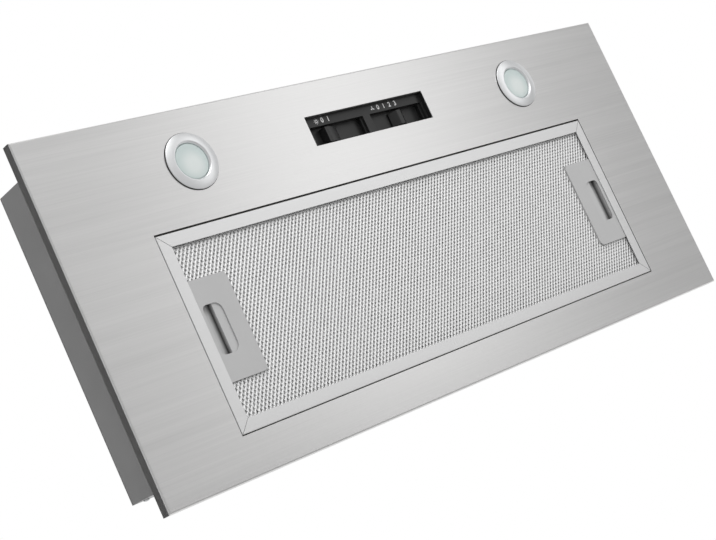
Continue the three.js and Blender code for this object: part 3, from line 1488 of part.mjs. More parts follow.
// A strap over the capacitor with a foot on either side.
function capacitorStrap() {
  const inner = CAPACITOR_RADIUS + SEAT;
  const outer = inner + STRAP_SHEET;
  const footY = outer + STRAP_FOOT;
  const deckY = -CAPACITOR_RADIUS;
  const steps = 10;
  const arc = (radius) => Array.from({ length: steps + 1 }, (_, i) => polar(radius, (i / steps) * Math.PI));
  const outline = [
    [footY, deckY],
    [footY, deckY + STRAP_SHEET],
    [outer, deckY + STRAP_SHEET],
    ...arc(outer),
    [-outer, deckY + STRAP_SHEET],
    [-footY, deckY + STRAP_SHEET],
    [-footY, deckY],
    [-inner, deckY],
    ...arc(inner).reverse(),
    [inner, deckY],
  ];
  return alongX(prism(outline, -STRAP_WIDTH / 2, STRAP_WIDTH / 2))
    .translate(CAPACITOR_X, CAPACITOR_Y, capacitorZ);
}

place('capacitor_strap', capacitorStrap(), zincSteel);

export default hood;
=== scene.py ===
import json
import math

import bmesh
import bpy
from mathutils import Matrix, Vector

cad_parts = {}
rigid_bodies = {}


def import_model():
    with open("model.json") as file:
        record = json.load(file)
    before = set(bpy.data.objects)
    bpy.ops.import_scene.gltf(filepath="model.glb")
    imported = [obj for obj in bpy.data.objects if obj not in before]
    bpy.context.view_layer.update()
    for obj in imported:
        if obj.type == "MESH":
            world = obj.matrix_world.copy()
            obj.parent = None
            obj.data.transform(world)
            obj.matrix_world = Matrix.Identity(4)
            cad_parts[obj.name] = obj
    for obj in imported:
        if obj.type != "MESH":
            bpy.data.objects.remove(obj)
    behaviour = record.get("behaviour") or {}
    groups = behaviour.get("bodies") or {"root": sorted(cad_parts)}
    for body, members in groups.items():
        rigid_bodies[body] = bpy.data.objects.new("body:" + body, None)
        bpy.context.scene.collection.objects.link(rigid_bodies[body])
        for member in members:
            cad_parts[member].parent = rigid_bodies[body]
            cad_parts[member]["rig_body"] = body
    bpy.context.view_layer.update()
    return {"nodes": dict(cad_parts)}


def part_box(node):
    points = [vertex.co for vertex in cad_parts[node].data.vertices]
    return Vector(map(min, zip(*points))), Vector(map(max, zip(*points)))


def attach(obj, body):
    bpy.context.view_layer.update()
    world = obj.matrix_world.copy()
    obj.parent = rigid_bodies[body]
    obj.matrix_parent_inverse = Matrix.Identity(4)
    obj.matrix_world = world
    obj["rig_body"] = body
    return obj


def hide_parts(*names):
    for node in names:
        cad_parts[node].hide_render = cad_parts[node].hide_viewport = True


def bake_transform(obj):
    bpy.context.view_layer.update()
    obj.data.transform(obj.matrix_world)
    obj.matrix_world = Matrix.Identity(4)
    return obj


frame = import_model()
MM = 0.001

# ---------------------------------------------------------------- camera, daylight and floor
# The photograph looks up at the hood's face from its left, before a white background. The hood
# hangs well above a pale studio floor, which its steel face mirrors softly. A grey flag above it on
# the left is seen in reflections alone, and keeps the end wall darker than the face.
CAMERA_PLACE = (-0.97095, 0.17954, -0.95773)
CAMERA_TURN = Vector((-0.273832, -0.711104, -0.36479))
CAMERA_LENS = 79.72
turn = Matrix.Rotation(CAMERA_TURN.length, 3, CAMERA_TURN).transposed()
camera_data = bpy.data.cameras.new("camera")
camera_data.lens = CAMERA_LENS
camera_data.clip_start = 0.01
camera_data.clip_end = 50
camera = bpy.data.objects.new("camera", camera_data)
camera.matrix_world = Matrix.Translation(CAMERA_PLACE) @ (turn @ Matrix.Diagonal((1, -1, -1))).to_4x4()
bpy.context.scene.collection.objects.link(camera)
bpy.context.scene.camera = camera
bpy.context.scene.view_settings.view_transform = "Standard"


def linear(grey):
    """A screen grey from 0 to 255 as light."""
    g = grey / 255
    return g / 12.92 if g <= 0.04045 else ((g + 0.055) / 1.055) ** 2.4


def grey(level, warmth=0.0):
    return (linear(level + warmth), linear(level), linear(level - warmth), 1)


def add_node(tree, kind, values=None, **settings):
    node = tree.nodes.new(kind)
    for name, value in settings.items():
        setattr(node, name, value)
    for socket, value in (values or {}).items():
        node.inputs[socket].default_value = value
    return node


world = bpy.data.worlds.new("studio")
bpy.context.scene.world = world
world.use_nodes = True
air = world.node_tree
air.nodes.clear()
rays = add_node(air, "ShaderNodeLightPath")
seen = add_node(air, "ShaderNodeMath", operation="MAXIMUM")
seen_through = add_node(air, "ShaderNodeMath", operation="MAXIMUM")
white = add_node(air, "ShaderNodeBackground", {"Color": (1, 1, 1, 1), "Strength": 1})
soft_light = add_node(air, "ShaderNodeBackground", {"Color": (1, 1, 1, 1), "Strength": 0.45})
chosen = add_node(air, "ShaderNodeMixShader")
out = add_node(air, "ShaderNodeOutputWorld")
air.links.new(rays.outputs["Is Camera Ray"], seen.inputs[0])
air.links.new(rays.outputs["Is Glossy Ray"], seen.inputs[1])
air.links.new(seen.outputs[0], seen_through.inputs[0])
air.links.new(rays.outputs["Is Transmission Ray"], seen_through.inputs[1])
air.links.new(seen_through.outputs[0], chosen.inputs[0])
air.links.new(soft_light.outputs[0], chosen.inputs[1])
air.links.new(white.outputs[0], chosen.inputs[2])
air.links.new(chosen.outputs[0], out.inputs[0])


def lamp(name, place, target, size, power, lean=0):
    data = bpy.data.lights.new(name, "AREA")
    data.shape = "RECTANGLE"
    data.size, data.size_y = size
    data.energy = power
    made = bpy.data.objects.new(name, data)
    aim = Vector(target) - Vector(place)
    aimed = Matrix.Translation(place) @ aim.to_track_quat("-Z", "Y").to_matrix().to_4x4()
    made.matrix_world = aimed @ Matrix.Rotation(math.radians(lean), 4, "Z")
    bpy.context.scene.collection.objects.link(made)
    return made


lamp("face_light", (1.27, -0.53, -1.35), (0.0, 0.0, 0.0), (1.35, 0.5), 2.35, lean=-22)
floor_light = lamp("floor_light", (-0.1, -0.6, 2.6), (-0.1, -0.4, -1.6), (2.4, 2.4), 60)
floor_light.visible_glossy = False  # the bare metal mirrors the white room alone
lamp("side_light", (-0.2, -2.2, -0.5), (0, 0, 0.05), (1.6, 1.0), 7)
lamp("under_light", (-0.15, -1.5, -1.45), (0, 0, 0), (1.3, 0.7), 10)


def stage_sheet(name, half, place, tint):
    """A flat, square stage sheet that faces +Z before it is turned."""
    bm = bmesh.new()
    bmesh.ops.create_grid(bm, x_segments=1, y_segments=1, size=1)
    bmesh.ops.scale(bm, vec=(half, half, 1), verts=bm.verts)
    bmesh.ops.transform(bm, matrix=place, verts=bm.verts)
    mesh = bpy.data.meshes.new(name)
    bm.to_mesh(mesh)
    bm.free()
    made = bpy.data.objects.new(name, mesh)
    bpy.context.scene.collection.objects.link(made)
    material = bpy.data.materials.new(name)
    material.use_nodes = True
    shader = material.node_tree.nodes["Principled BSDF"]
    shader.inputs["Base Color"].default_value = tint
    shader.inputs["Roughness"].default_value = 0.9
    mesh.materials.append(material)
    return made


FLOOR_Z = -1.75
FLOOR_HALF = 6
stage_sheet("floor", FLOOR_HALF, Matrix.Translation((0, 0, FLOOR_Z)), grey(232))
FLAG_PLACE = Vector((-1.5, -0.2, 1.3))
FLAG_HALF = 1.6
flag_turn = (-FLAG_PLACE).to_track_quat("Z", "Y").to_matrix().to_4x4()
flag = stage_sheet("grey_flag", FLAG_HALF, Matrix.Translation(FLAG_PLACE) @ flag_turn, grey(105))
flag.visible_camera = False
flag.visible_shadow = False
flag.visible_diffuse = False

# ---------------------------------------------------------------- face panel
# One sheet of stainless steel, 0.8 mm thick, brushed along its length and folded to a shallow
# tray. Its four sides run up round a 2 mm bend, and a short lip stands round the filter opening.
SHEET_EDGE = 0.16 * MM


def open_group(name, outputs, inputs):
    """An empty node group with its sockets, its input node and its output node."""
    group = bpy.data.node_groups.new(name, "ShaderNodeTree")
    for socket, kind in outputs:
        group.interface.new_socket(socket, in_out="OUTPUT", socket_type=kind)
    for socket, value in inputs:
        made = group.interface.new_socket(socket, in_out="INPUT", socket_type="NodeSocketFloat")
        made.default_value = value
    return group, group.nodes.new("NodeGroupInput"), group.nodes.new("NodeGroupOutput")


SURFACE_OUTPUTS = [
    ("Shade", "NodeSocketFloat"), ("Roughness", "NodeSocketFloat"), ("Normal", "NodeSocketVector"),
]


def close_surface(group, entry, exit_, variation, middle, swing, height, depth):
    """Ends a surface group: the variation shades and roughens it, and the height tilts its normal."""
    centred = add_node(group, "ShaderNodeMath", {1: middle}, operation="SUBTRACT")
    shade = add_node(group, "ShaderNodeMath", {2: 1.0}, operation="MULTIPLY_ADD")
    rough = add_node(group, "ShaderNodeMath", {1: swing}, operation="MULTIPLY_ADD")
    bump = add_node(group, "ShaderNodeBump", {"Distance": depth})
    link = group.links.new
    link(variation, centred.inputs[0])
    link(centred.outputs[0], shade.inputs[0])
    link(entry.outputs["Shade Depth"], shade.inputs[1])
    link(centred.outputs[0], rough.inputs[0])
    link(entry.outputs["Roughness"], rough.inputs[2])
    link(entry.outputs["Bump"], bump.inputs["Strength"])
    link(height, bump.inputs["Height"])
    link(shade.outputs[0], exit_.inputs["Shade"])
    link(rough.outputs[0], exit_.inputs["Roughness"])
    link(bump.outputs[0], exit_.inputs["Normal"])
    return group


def brushed_grain():
    """Fine parallel scratches along X, gathered in broader bands."""
    inputs = [("Across", 900.0), ("Along", 9.0), ("Shade Depth", 0.05), ("Roughness", 0.34), ("Bump", 0.05)]
    group, entry, exit_ = open_group("brushed_grain", SURFACE_OUTPUTS, inputs)
    place = add_node(group, "ShaderNodeTexCoord")
    size = add_node(group, "ShaderNodeCombineXYZ")
    stretched = add_node(group, "ShaderNodeVectorMath", operation="MULTIPLY")
    streaks = add_node(group, "ShaderNodeTexNoise", {"Scale": 1.0, "Detail": 4.0, "Roughness": 0.65})
    broader = add_node(group, "ShaderNodeVectorMath", {"Scale": 0.2}, operation="SCALE")
    bands = add_node(group, "ShaderNodeTexNoise", {"Scale": 1.0, "Detail": 5.0, "Roughness": 0.6})
    together = add_node(group, "ShaderNodeMath", operation="ADD")
    link = group.links.new
    link(entry.outputs["Along"], size.inputs["X"])
    link(entry.outputs["Across"], size.inputs["Y"])
    link(entry.outputs["Across"], size.inputs["Z"])
    link(place.outputs["Object"], stretched.inputs[0])
    link(size.outputs[0], stretched.inputs[1])
    link(stretched.outputs[0], streaks.inputs["Vector"])
    link(stretched.outputs[0], broader.inputs[0])
    link(broader.outputs[0], bands.inputs["Vector"])
    link(streaks.outputs["Fac"], together.inputs[0])
    link(bands.outputs["Fac"], together.inputs[1])
    height = streaks.outputs["Fac"]
    return close_surface(group, entry, exit_, together.outputs[0], 1.0, 0.09, height, 0.2 * MM)


BRUSHED_GRAIN = brushed_grain()


def surfaced(name, group, colour, metallic, values):
    """A material whose shade, roughness and normal come from a surface group."""
    material = bpy.data.materials.new(name)
    material.use_nodes = True
    tree = material.node_tree
    shader = tree.nodes["Principled BSDF"]
    shader.inputs["Metallic"].default_value = metallic
    surface = add_node(tree, "ShaderNodeGroup", values, node_tree=group)
    tint = add_node(tree, "ShaderNodeVectorMath", operation="SCALE")
    tint.inputs[0].default_value = colour[:3]
    tree.links.new(surface.outputs["Shade"], tint.inputs["Scale"])
    tree.links.new(tint.outputs[0], shader.inputs["Base Color"])
    tree.links.new(surface.outputs["Roughness"], shader.inputs["Roughness"])
    tree.links.new(surface.outputs["Normal"], shader.inputs["Normal"])
    return material


def brushed_metal(name, colour, roughness, across=900.0, along=9.0, depth=0.05, bump=0.05):
    values = {"Across": across, "Along": along, "Shade Depth": depth, "Roughness": roughness, "Bump": bump}
    return surfaced(name, BRUSHED_GRAIN, colour, 1, values)


def finish_piece(bm, name, body, material, replaced=(), smooth=35):
    """Writes a bmesh as a piece of the hood. Edges flatter than smooth degrees are shaded round.
    A piece given no body is left unattached."""
    bmesh.ops.remove_doubles(bm, verts=bm.verts, dist=1e-6)
    for face in bm.faces:
        face.smooth = True
    for edge in bm.edges:
        edge.smooth = len(edge.link_faces) == 2 and edge.calc_face_angle(math.pi) < math.radians(smooth)
    mesh = bpy.data.meshes.new(name)
    bm.to_mesh(mesh)
    bm.free()
    mesh.materials.append(material)
    made = bpy.data.objects.new(name, mesh)
    bpy.context.scene.collection.objects.link(made)
    if body:
        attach(made, body)
    if replaced:
        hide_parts(*replaced)
    return made


def cad_shape(node):
    """A CAD node as a bmesh of plain faces, ready for work on its edges."""
    bm = bmesh.new()
    bm.from_mesh(frame["nodes"][node].data)
    bmesh.ops.remove_doubles(bm, verts=bm.verts, dist=2e-6)
    bmesh.ops.dissolve_limit(
        bm, angle_limit=math.radians(0.5), use_dissolve_boundaries=False, verts=bm.verts, edges=bm.edges,
    )
    return bm


def ease_edges(bm, width, segments=2, sharper_than=50):
    """Rounds every edge sharper than the given angle."""
    limit = math.radians(sharper_than)
    edges = [e for e in bm.edges if len(e.link_faces) == 2 and e.calc_face_angle(0) > limit]
    bmesh.ops.bevel(
        bm, geom=edges, offset=width, offset_type="OFFSET", segments=segments, profile=0.5,
        affect="EDGES", clamp_overlap=True, material=-1,
    )


def eased(node, width, material, segments=2, sharper_than=50):
    """The CAD node's own shape with its edges rounded as the real piece's are."""
    bm = cad_shape(node)
    ease_edges(bm, width, segments, sharper_than)
    body = frame["nodes"][node]["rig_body"]
    made = finish_piece(bm, node + "_finished", body, material, [node])
    made.modifiers.new("flat faces stay flat", "WEIGHTED_NORMAL").keep_sharp = True


FACE_STEEL = brushed_metal("face_steel", grey(212, 0.5), 0.31, depth=0.15, bump=0.06)
eased("face_panel", SHEET_EDGE, FACE_STEEL)

# ---------------------------------------------------------------- casing
# Five folded sheets of coated grey steel behind the face: two channel-shaped long walls, two end
# walls with returns, and the deck. They are screwed to each other and to the seat frame.
CASING_EDGE = 0.2 * MM


def sheet_mottle():
    """The cloudy spangle of coated sheet, with a fine orange peel."""
    inputs = [("Scale", 40.0), ("Shade Depth", 0.06), ("Roughness", 0.5), ("Bump", 0.04)]
    group, entry, exit_ = open_group("sheet_mottle", SURFACE_OUTPUTS, inputs)
    place = add_node(group, "ShaderNodeTexCoord")
    spangle = add_node(group, "ShaderNodeTexNoise", {"Detail": 3.0, "Roughness": 0.55})
    orange_peel = add_node(group, "ShaderNodeTexNoise", {"Scale": 700.0, "Detail": 2.0})
    link = group.links.new
    link(place.outputs["Object"], spangle.inputs["Vector"])
    link(entry.outputs["Scale"], spangle.inputs["Scale"])
    link(place.outputs["Object"], orange_peel.inputs["Vector"])
    height = orange_peel.outputs["Fac"]
    return close_surface(group, entry, exit_, spangle.outputs["Fac"], 0.5, 0.2, height, 0.2 * MM)


SHEET_MOTTLE = sheet_mottle()


def mottled(name, colour, roughness, metallic=0.0, scale=40.0, depth=0.12):
    values = {"Scale": scale, "Shade Depth": depth, "Roughness": roughness, "Bump": 0.04}
    return surfaced(name, SHEET_MOTTLE, colour, metallic, values)


COATED_STEEL = mottled("coated_steel", grey(178), 0.48, metallic=0.35)
ZINC_STEEL = mottled("zinc_steel", grey(188, -1), 0.36, metallic=0.95, scale=120.0, depth=0.3)
for node in ("casing_front_wall", "casing_rear_wall", "casing_end_wall_left", "casing_end_wall_right",
             "casing_deck", "filter_seat_frame"):
    eased(node, CASING_EDGE, COATED_STEEL)
eased("control_partition", CASING_EDGE, ZINC_STEEL)

# ---------------------------------------------------------------- screws
# Zinc-plated pan-head screws with a cross recess hold the sheets together, the chamber to the
# deck, the collar to the lid and the lids to their boxes. Each head lies on its sheet.
SCREW_HEAD_RADIUS = 3.1 * MM
SCREW_HEAD_HEIGHT = 1.9 * MM
RECESS_ARM = 1.7 * MM
RECESS_WIDTH = 0.75 * MM
RECESS_DEPTH = 1.1 * MM
RIM_SHARE = 0.35  # of the head's height, upright at its rim
DOME_STEPS = 6
SHANK_RADIUS = 1.6 * MM
SHANK_LENGTH = 5 * MM
POINT_LENGTH = 1 * MM
FIRST_TURN, TURN_STEP = 20, 37  # degrees, so that no two crosses stand alike


def boolean(bm, tool, operation="DIFFERENCE"):
    """Cuts one bmesh with another and returns the result as a new bmesh."""
    objects = []
    for part in (bm, tool):
        mesh = bpy.data.meshes.new("boolean")
        part.to_mesh(mesh)
        part.free()
        objects.append(bpy.data.objects.new("boolean", mesh))
        bpy.context.scene.collection.objects.link(objects[-1])
    modifier = objects[0].modifiers.new("cut", "BOOLEAN")
    modifier.operation = operation
    modifier.solver = "EXACT"
    modifier.object = objects[1]
    bpy.context.view_layer.update()
    cut = objects[0].evaluated_get(bpy.context.evaluated_depsgraph_get())
    done = bpy.data.meshes.new_from_object(cut)
    result = bmesh.new()
    result.from_mesh(done)
    for made in objects:
        mesh = made.data
        bpy.data.objects.remove(made)
        bpy.data.meshes.remove(mesh)
    bpy.data.meshes.remove(done)
    return result


def add_block(bm, low, high):
    """Adds a box between two corners."""
    low, high = Vector(low), Vector(high)
    made = bmesh.ops.create_cube(bm, size=1)["verts"]
    bmesh.ops.scale(bm, vec=high - low, verts=made)
    bmesh.ops.translate(bm, vec=(low + high) / 2, verts=made)
    return made


def turned(profile, steps=48):
    """A closed shape turned about Z from a profile of (radius, height)."""
    bm = bmesh.new()
    verts = [bm.verts.new((r, 0, z)) for r, z in profile]
    edges = [bm.edges.new(pair) for pair in zip(verts, verts[1:])]
    if profile[0][0] > 0:
        edges.append(bm.edges.new((verts[-1], verts[0])))
    bmesh.ops.spin(
        bm, geom=verts + edges, cent=(0, 0, 0), axis=(0, 0, 1), angle=2 * math.pi, steps=steps,
        use_merge=True,
    )
    bmesh.ops.remove_doubles(bm, verts=bm.verts, dist=1e-7)
    bmesh.ops.recalc_face_normals(bm, faces=bm.faces)
    return bm


def screw_template():
    """A pan head with its cross recess and a short shank, upright at the origin."""
    dome = [(0, SCREW_HEAD_HEIGHT)]
    for i in range(1, DOME_STEPS + 1):
        turn_to = math.pi / 2 * i / DOME_STEPS
        height = RIM_SHARE + (1 - RIM_SHARE) * math.cos(turn_to)
        dome.append((SCREW_HEAD_RADIUS * math.sin(turn_to), SCREW_HEAD_HEIGHT * height))
    dome += [(SCREW_HEAD_RADIUS, 0), (SHANK_RADIUS, 0), (SHANK_RADIUS, -SHANK_LENGTH)]
    dome.append((0, -SHANK_LENGTH - POINT_LENGTH))
    head = turned(dome, 24)
    cross = bmesh.new()
    top = SCREW_HEAD_HEIGHT + MM
    floor = SCREW_HEAD_HEIGHT - RECESS_DEPTH
    half = RECESS_WIDTH / 2
    add_block(cross, (-RECESS_ARM, -half, floor), (RECESS_ARM, half, top))
    arm = bmesh.new()
    add_block(arm, (-half, -RECESS_ARM, floor), (half, RECESS_ARM, top))
    return boolean(head, boolean(cross, arm, "UNION"))


SCREW_MESH = bpy.data.meshes.new("screw_template")
template = screw_template()
template.to_mesh(SCREW_MESH)
template.free()


def screws(name, places, size=1.0):
    """Screws at (place, outward direction), each turned to its own angle."""
    bm = bmesh.new()
    for i, (place, outward) in enumerate(places):
        before = len(bm.verts)
        bm.from_mesh(SCREW_MESH)
        bm.verts.ensure_lookup_table()
        pose = (
            Matrix.Translation(place)
            @ Vector(outward).to_track_quat("Z", "Y").to_matrix().to_4x4()
            @ Matrix.Rotation(math.radians(TURN_STEP * i + FIRST_TURN), 4, "Z")
            @ Matrix.Diagonal((size, size, size, 1))
        )
        bmesh.ops.transform(bm, matrix=pose, verts=bm.verts[before:])
    finish_piece(bm, name, "root", ZINC_STEEL)


UP = (0, 0, 1)
LEFT, RIGHT = (-1, 0, 0), (1, 0, 0)
FRONT, REAR = (0, -1, 0), (0, 1, 0)
deck_low, deck_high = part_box("casing_deck")
DECK_TOP = deck_high.z
FIXING_X = 280 * MM
FLANGE_MIDDLE = 4.5 * MM
RETURN_MIDDLE = 5.4 * MM
CORNER_HEIGHTS = (12 * MM, 38 * MM)
screws("deck_screws", [
    ((x, y, DECK_TOP), UP)
    for x in (-FIXING_X, FIXING_X)
    for y in (deck_low.y + FLANGE_MIDDLE, deck_high.y - FLANGE_MIDDLE)
])
screws("corner_screws", [
    ((x, y, z), outward)
    for x in (deck_low.x + RETURN_MIDDLE, deck_high.x - RETURN_MIDDLE)
    for y, outward in ((deck_low.y, FRONT), (deck_high.y, REAR))
    for z in CORNER_HEIGHTS
], size=0.85)

# ---------------------------------------------------------------- grease filter
# Four channels of satin aluminium, mitred at the corners, hold the filter's layers: a fine
# expanded mesh in front, crumpled layers behind it and a coarser mesh at the rear.
RAIL_EDGE = 0.2 * MM
RAIL_FOLD = 0.75 * MM
CELL = (3.94 * MM, 6.0 * MM)
STRAND_WIDTH = 1.25 * MM
STRAND_SHEET = 0.3 * MM
STRAND_TILT = -26
REAR_CELL = (12 * MM, 18 * MM)
REAR_STRAND_WIDTH = 2.0 * MM
REAR_STRAND_SHEET = 0.4 * MM
REAR_STRAND_TILT = 12
HIDDEN_IN_RAIL = 4 * MM
LATCH_GAP = 0.15 * MM
mesh_low, mesh_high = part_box("filter_front_mesh")
rear_mesh_low, rear_mesh_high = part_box("filter_rear_mesh")
cover_low, cover_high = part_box("latch_cover_left")
FILTER_CENTRE_Y = (mesh_low.y + mesh_high.y) / 2
MESH_HALF = (mesh_high.x - HIDDEN_IN_RAIL, (mesh_high.y - mesh_low.y) / 2 - HIDDEN_IN_RAIL)
NOTCH_X = -cover_high.x - LATCH_GAP
NOTCH_HALF_Y = (cover_high.y - cover_low.y) / 2 + LATCH_GAP
FRONT_MESH_Z = (mesh_low.z + mesh_high.z) / 2
REAR_MESH_Z = (rear_mesh_low.z + rear_mesh_high.z) / 2

RAIL_ALUMINIUM = brushed_metal("rail_aluminium", grey(226), 0.42, depth=0.06, bump=0.02)
MESH_ALUMINIUM = brushed_metal(
    "mesh_aluminium", grey(240), 0.62, across=400.0, along=400.0, depth=0.12, bump=0.1,
)


def rail(side, axis):
    """A rail whose long outer corner is folded round a larger radius than its cut edges."""
    node = "filter_rail_" + side
    low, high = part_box(node)
    outer = (high if side in ("rear", "right") else low)[axis]
    bm = cad_shape(node)
    near = 0.05 * MM
    fold = [
        e for e in bm.edges
        if all(abs(v.co[axis] - outer) < near and abs(v.co.z - low.z) < near for v in e.verts)
    ]
    bmesh.ops.bevel(
        bm, geom=fold, offset=RAIL_FOLD, offset_type="OFFSET", segments=4, profile=0.5,
        affect="EDGES", clamp_overlap=True, material=-1,
    )
    ease_edges(bm, RAIL_EDGE)
    made = finish_piece(bm, node + "_finished", "filter", RAIL_ALUMINIUM, [node])
    made.modifiers.new("flat faces stay flat", "WEIGHTED_NORMAL").keep_sharp = True


for side, axis in (("front", 1), ("rear", 1), ("left", 0), ("right", 0)):
    rail(side, axis)


def expanded_cell(cell, width, sheet, tilt):
    """The four strands that meet in one knot of expanded metal, each tilted to one side."""
    bm = bmesh.new()
    reach = math.hypot(cell[0] / 2, cell[1] / 2)
    slope = math.atan2(cell[1], cell[0])
    for direction in (slope, math.pi - slope, math.pi + slope, -slope):
        strand = bmesh.ops.create_cube(bm, size=1)["verts"]
        lean = math.radians(tilt) * (1 if math.cos(direction) > 0 else -1)
        pose = (
            Matrix.Rotation(direction, 4, "Z")
            @ Matrix.Translation((reach / 2, 0, 0))
            @ Matrix.Rotation(lean, 4, "X")
            @ Matrix.Diagonal((reach, width, sheet, 1))
        )
        bmesh.ops.transform(bm, matrix=pose, verts=strand)
    return bm


def tiled(bm, cell, counts):
    """The cell repeated along X and Y round the origin."""
    mesh = bpy.data.meshes.new("cell")
    first = [-size * (count - 1) / 2 for size, count in zip(cell, counts)]
    bmesh.ops.translate(bm, vec=(*first, 0), verts=bm.verts)
    bm.to_mesh(mesh)
    bm.free()
    made = bpy.data.objects.new("cell", mesh)
    bpy.context.scene.collection.objects.link(made)
    for axis, count in enumerate(counts):
        row = made.modifiers.new("row", "ARRAY")
        row.count = count
        row.use_relative_offset = False
        row.use_constant_offset = True
        row.constant_offset_displace = [cell[0] if axis == 0 else 0, cell[1] if axis == 1 else 0, 0]
    bpy.context.view_layer.update()
    done = bpy.data.meshes.new_from_object(made.evaluated_get(bpy.context.evaluated_depsgraph_get()))
    bpy.data.objects.remove(made)
    bpy.data.meshes.remove(mesh)
    return done


def trimmed(net, low, high):
    """The part of a net that lies between two corners, closed where it is cut."""
    bm = bmesh.new()
    bm.from_mesh(net)
    for axis in (0, 1):
        for limit, sign in ((low[axis], -1), (high[axis], 1)):
            normal = Vector((0, 0, 0))
            normal[axis] = sign
            place = Vector((0, 0, 0))
            place[axis] = limit
            cut_at = bmesh.ops.bisect_plane(
                bm, geom=bm.verts[:] + bm.edges[:] + bm.faces[:], dist=1e-7,
                plane_co=place, plane_no=normal, clear_outer=True,
            )["geom_cut"]
            edges = [e for e in cut_at if isinstance(e, bmesh.types.BMEdge) and e.is_boundary]
            bmesh.ops.holes_fill(bm, edges=edges, sides=8)
    return bm


def add_shape(bm, part):
    """Adds one bmesh to another."""
    mesh = bpy.data.meshes.new("part")
    part.to_mesh(mesh)
    part.free()
    bm.from_mesh(mesh)
    bpy.data.meshes.remove(mesh)


def expanded_mesh(name, node, cell, width, sheet, tilt, z):
    """A sheet of expanded metal that fills the filter between its rails and latches."""
    counts = [math.ceil(2 * half / size) + 1 for half, size in zip(MESH_HALF, cell)]
    net = tiled(expanded_cell(cell, width, sheet, tilt), cell, counts)
    half_x, half_y = MESH_HALF
    zones = [((-NOTCH_X, -half_y), (NOTCH_X, half_y))]
    for x0, x1 in ((-half_x, -NOTCH_X), (NOTCH_X, half_x)):
        zones += [((x0, -half_y), (x1, -NOTCH_HALF_Y)), ((x0, NOTCH_HALF_Y), (x1, half_y))]
    bm = bmesh.new()
    for low, high in zones:
        add_shape(bm, trimmed(net, low, high))
    bpy.data.meshes.remove(net)
    bmesh.ops.translate(bm, vec=(0, FILTER_CENTRE_Y, z), verts=bm.verts)
    finish_piece(bm, name, "filter", MESH_ALUMINIUM, [node], smooth=10)


expanded_mesh(
    "front_mesh", "filter_front_mesh", CELL, STRAND_WIDTH, STRAND_SHEET, STRAND_TILT, FRONT_MESH_Z,
)
expanded_mesh(
    "rear_mesh", "filter_rear_mesh", REAR_CELL, REAR_STRAND_WIDTH, REAR_STRAND_SHEET, REAR_STRAND_TILT,
    REAR_MESH_Z,
)


def crumpled_layers():
    """Aluminium net folded on itself: criss-cross strands, with painted shade in the depths between them."""
    material = bpy.data.materials.new("crumpled_layers")
    material.use_nodes = True
    tree = material.node_tree
    shader = tree.nodes["Principled BSDF"]
    shader.inputs["Metallic"].default_value = 0.85
    shader.inputs["Roughness"].default_value = 0.42
    place = add_node(tree, "ShaderNodeTexCoord")
    lean = add_node(tree, "ShaderNodeMapping")
    lean.inputs["Rotation"].default_value = (0, 0, math.radians(18))
    cells = add_node(tree, "ShaderNodeTexVoronoi", {"Scale": 420.0}, feature="DISTANCE_TO_EDGE")
    ramp = add_node(tree, "ShaderNodeValToRGB")
    # Painted shade: the strands are grey 240, and the depths between them are darker at grey 214.
    ramp.color_ramp.elements[0].color = grey(240)
    ramp.color_ramp.elements[1].color = grey(214)
    ramp.color_ramp.elements[0].position = 0.05
    ramp.color_ramp.elements[1].position = 0.42
    bump = add_node(tree, "ShaderNodeBump", {"Strength": 0.9, "Distance": 0.0006})
    bump.invert = True
    link = tree.links.new
    link(place.outputs["Object"], lean.inputs["Vector"])
    link(lean.outputs[0], cells.inputs["Vector"])
    link(cells.outputs["Distance"], ramp.inputs[0])
    link(ramp.outputs[0], shader.inputs["Base Color"])
    link(cells.outputs["Distance"], bump.inputs["Height"])
    link(bump.outputs[0], shader.inputs["Normal"])
    return material


def coat(node, material):
    """Gives its material to a CAD node that is shown as it is."""
    materials = frame["nodes"][node].data.materials
    materials.clear()
    materials.append(material)


coat("filter_core", crumpled_layers())

# ---------------------------------------------------------------- filter latches
# Moulded grey plastic. A flat cover snaps into the end rail, a slider behind it is pulled inwards
# by its lug with a fingertip, and a small compression spring pushes it out again.


def fine_grain():
    """The spark-eroded grain of moulded plastic, with faint flow clouds."""
    inputs = [("Scale", 2600.0), ("Shade Depth", 0.05), ("Roughness", 0.5), ("Bump", 0.12)]
    group, entry, exit_ = open_group("fine_grain", SURFACE_OUTPUTS, inputs)
    place = add_node(group, "ShaderNodeTexCoord")
    grain = add_node(group, "ShaderNodeTexNoise", {"Detail": 2.0, "Roughness": 0.6})
    flow = add_node(group, "ShaderNodeTexNoise", {"Scale": 30.0, "Detail": 2.0})
    link = group.links.new
    link(place.outputs["Object"], grain.inputs["Vector"])
    link(entry.outputs["Scale"], grain.inputs["Scale"])
    link(place.outputs["Object"], flow.inputs["Vector"])
    return close_surface(group, entry, exit_, flow.outputs["Fac"], 0.5, 0.15, grain.outputs["Fac"], 0.1 * MM)


FINE_GRAIN = fine_grain()


def moulded(name, colour, roughness=0.5, depth=0.08, bump=0.12):
    values = {"Scale": 2600.0, "Shade Depth": depth, "Roughness": roughness, "Bump": bump}
    return surfaced(name, FINE_GRAIN, colour, 0, values)


# Painted shade: the slider and tray darken with depth into each finger pocket and towards the pocket's walls
# on either side, where shade falls.
POCKET_MOUTH_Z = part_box("latch_slider_right")[0].z + 0.5 * MM
POCKET_FLOOR_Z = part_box("latch_tray_right")[1].z - 1.2 * MM
POCKET_MIDDLE_X = 244.1 * MM
POCKET_HALF = 5.0 * MM
POCKET_PAINTED_SHADE = 0.8  # of the colour is darkened by the painted shade in the deepest corners
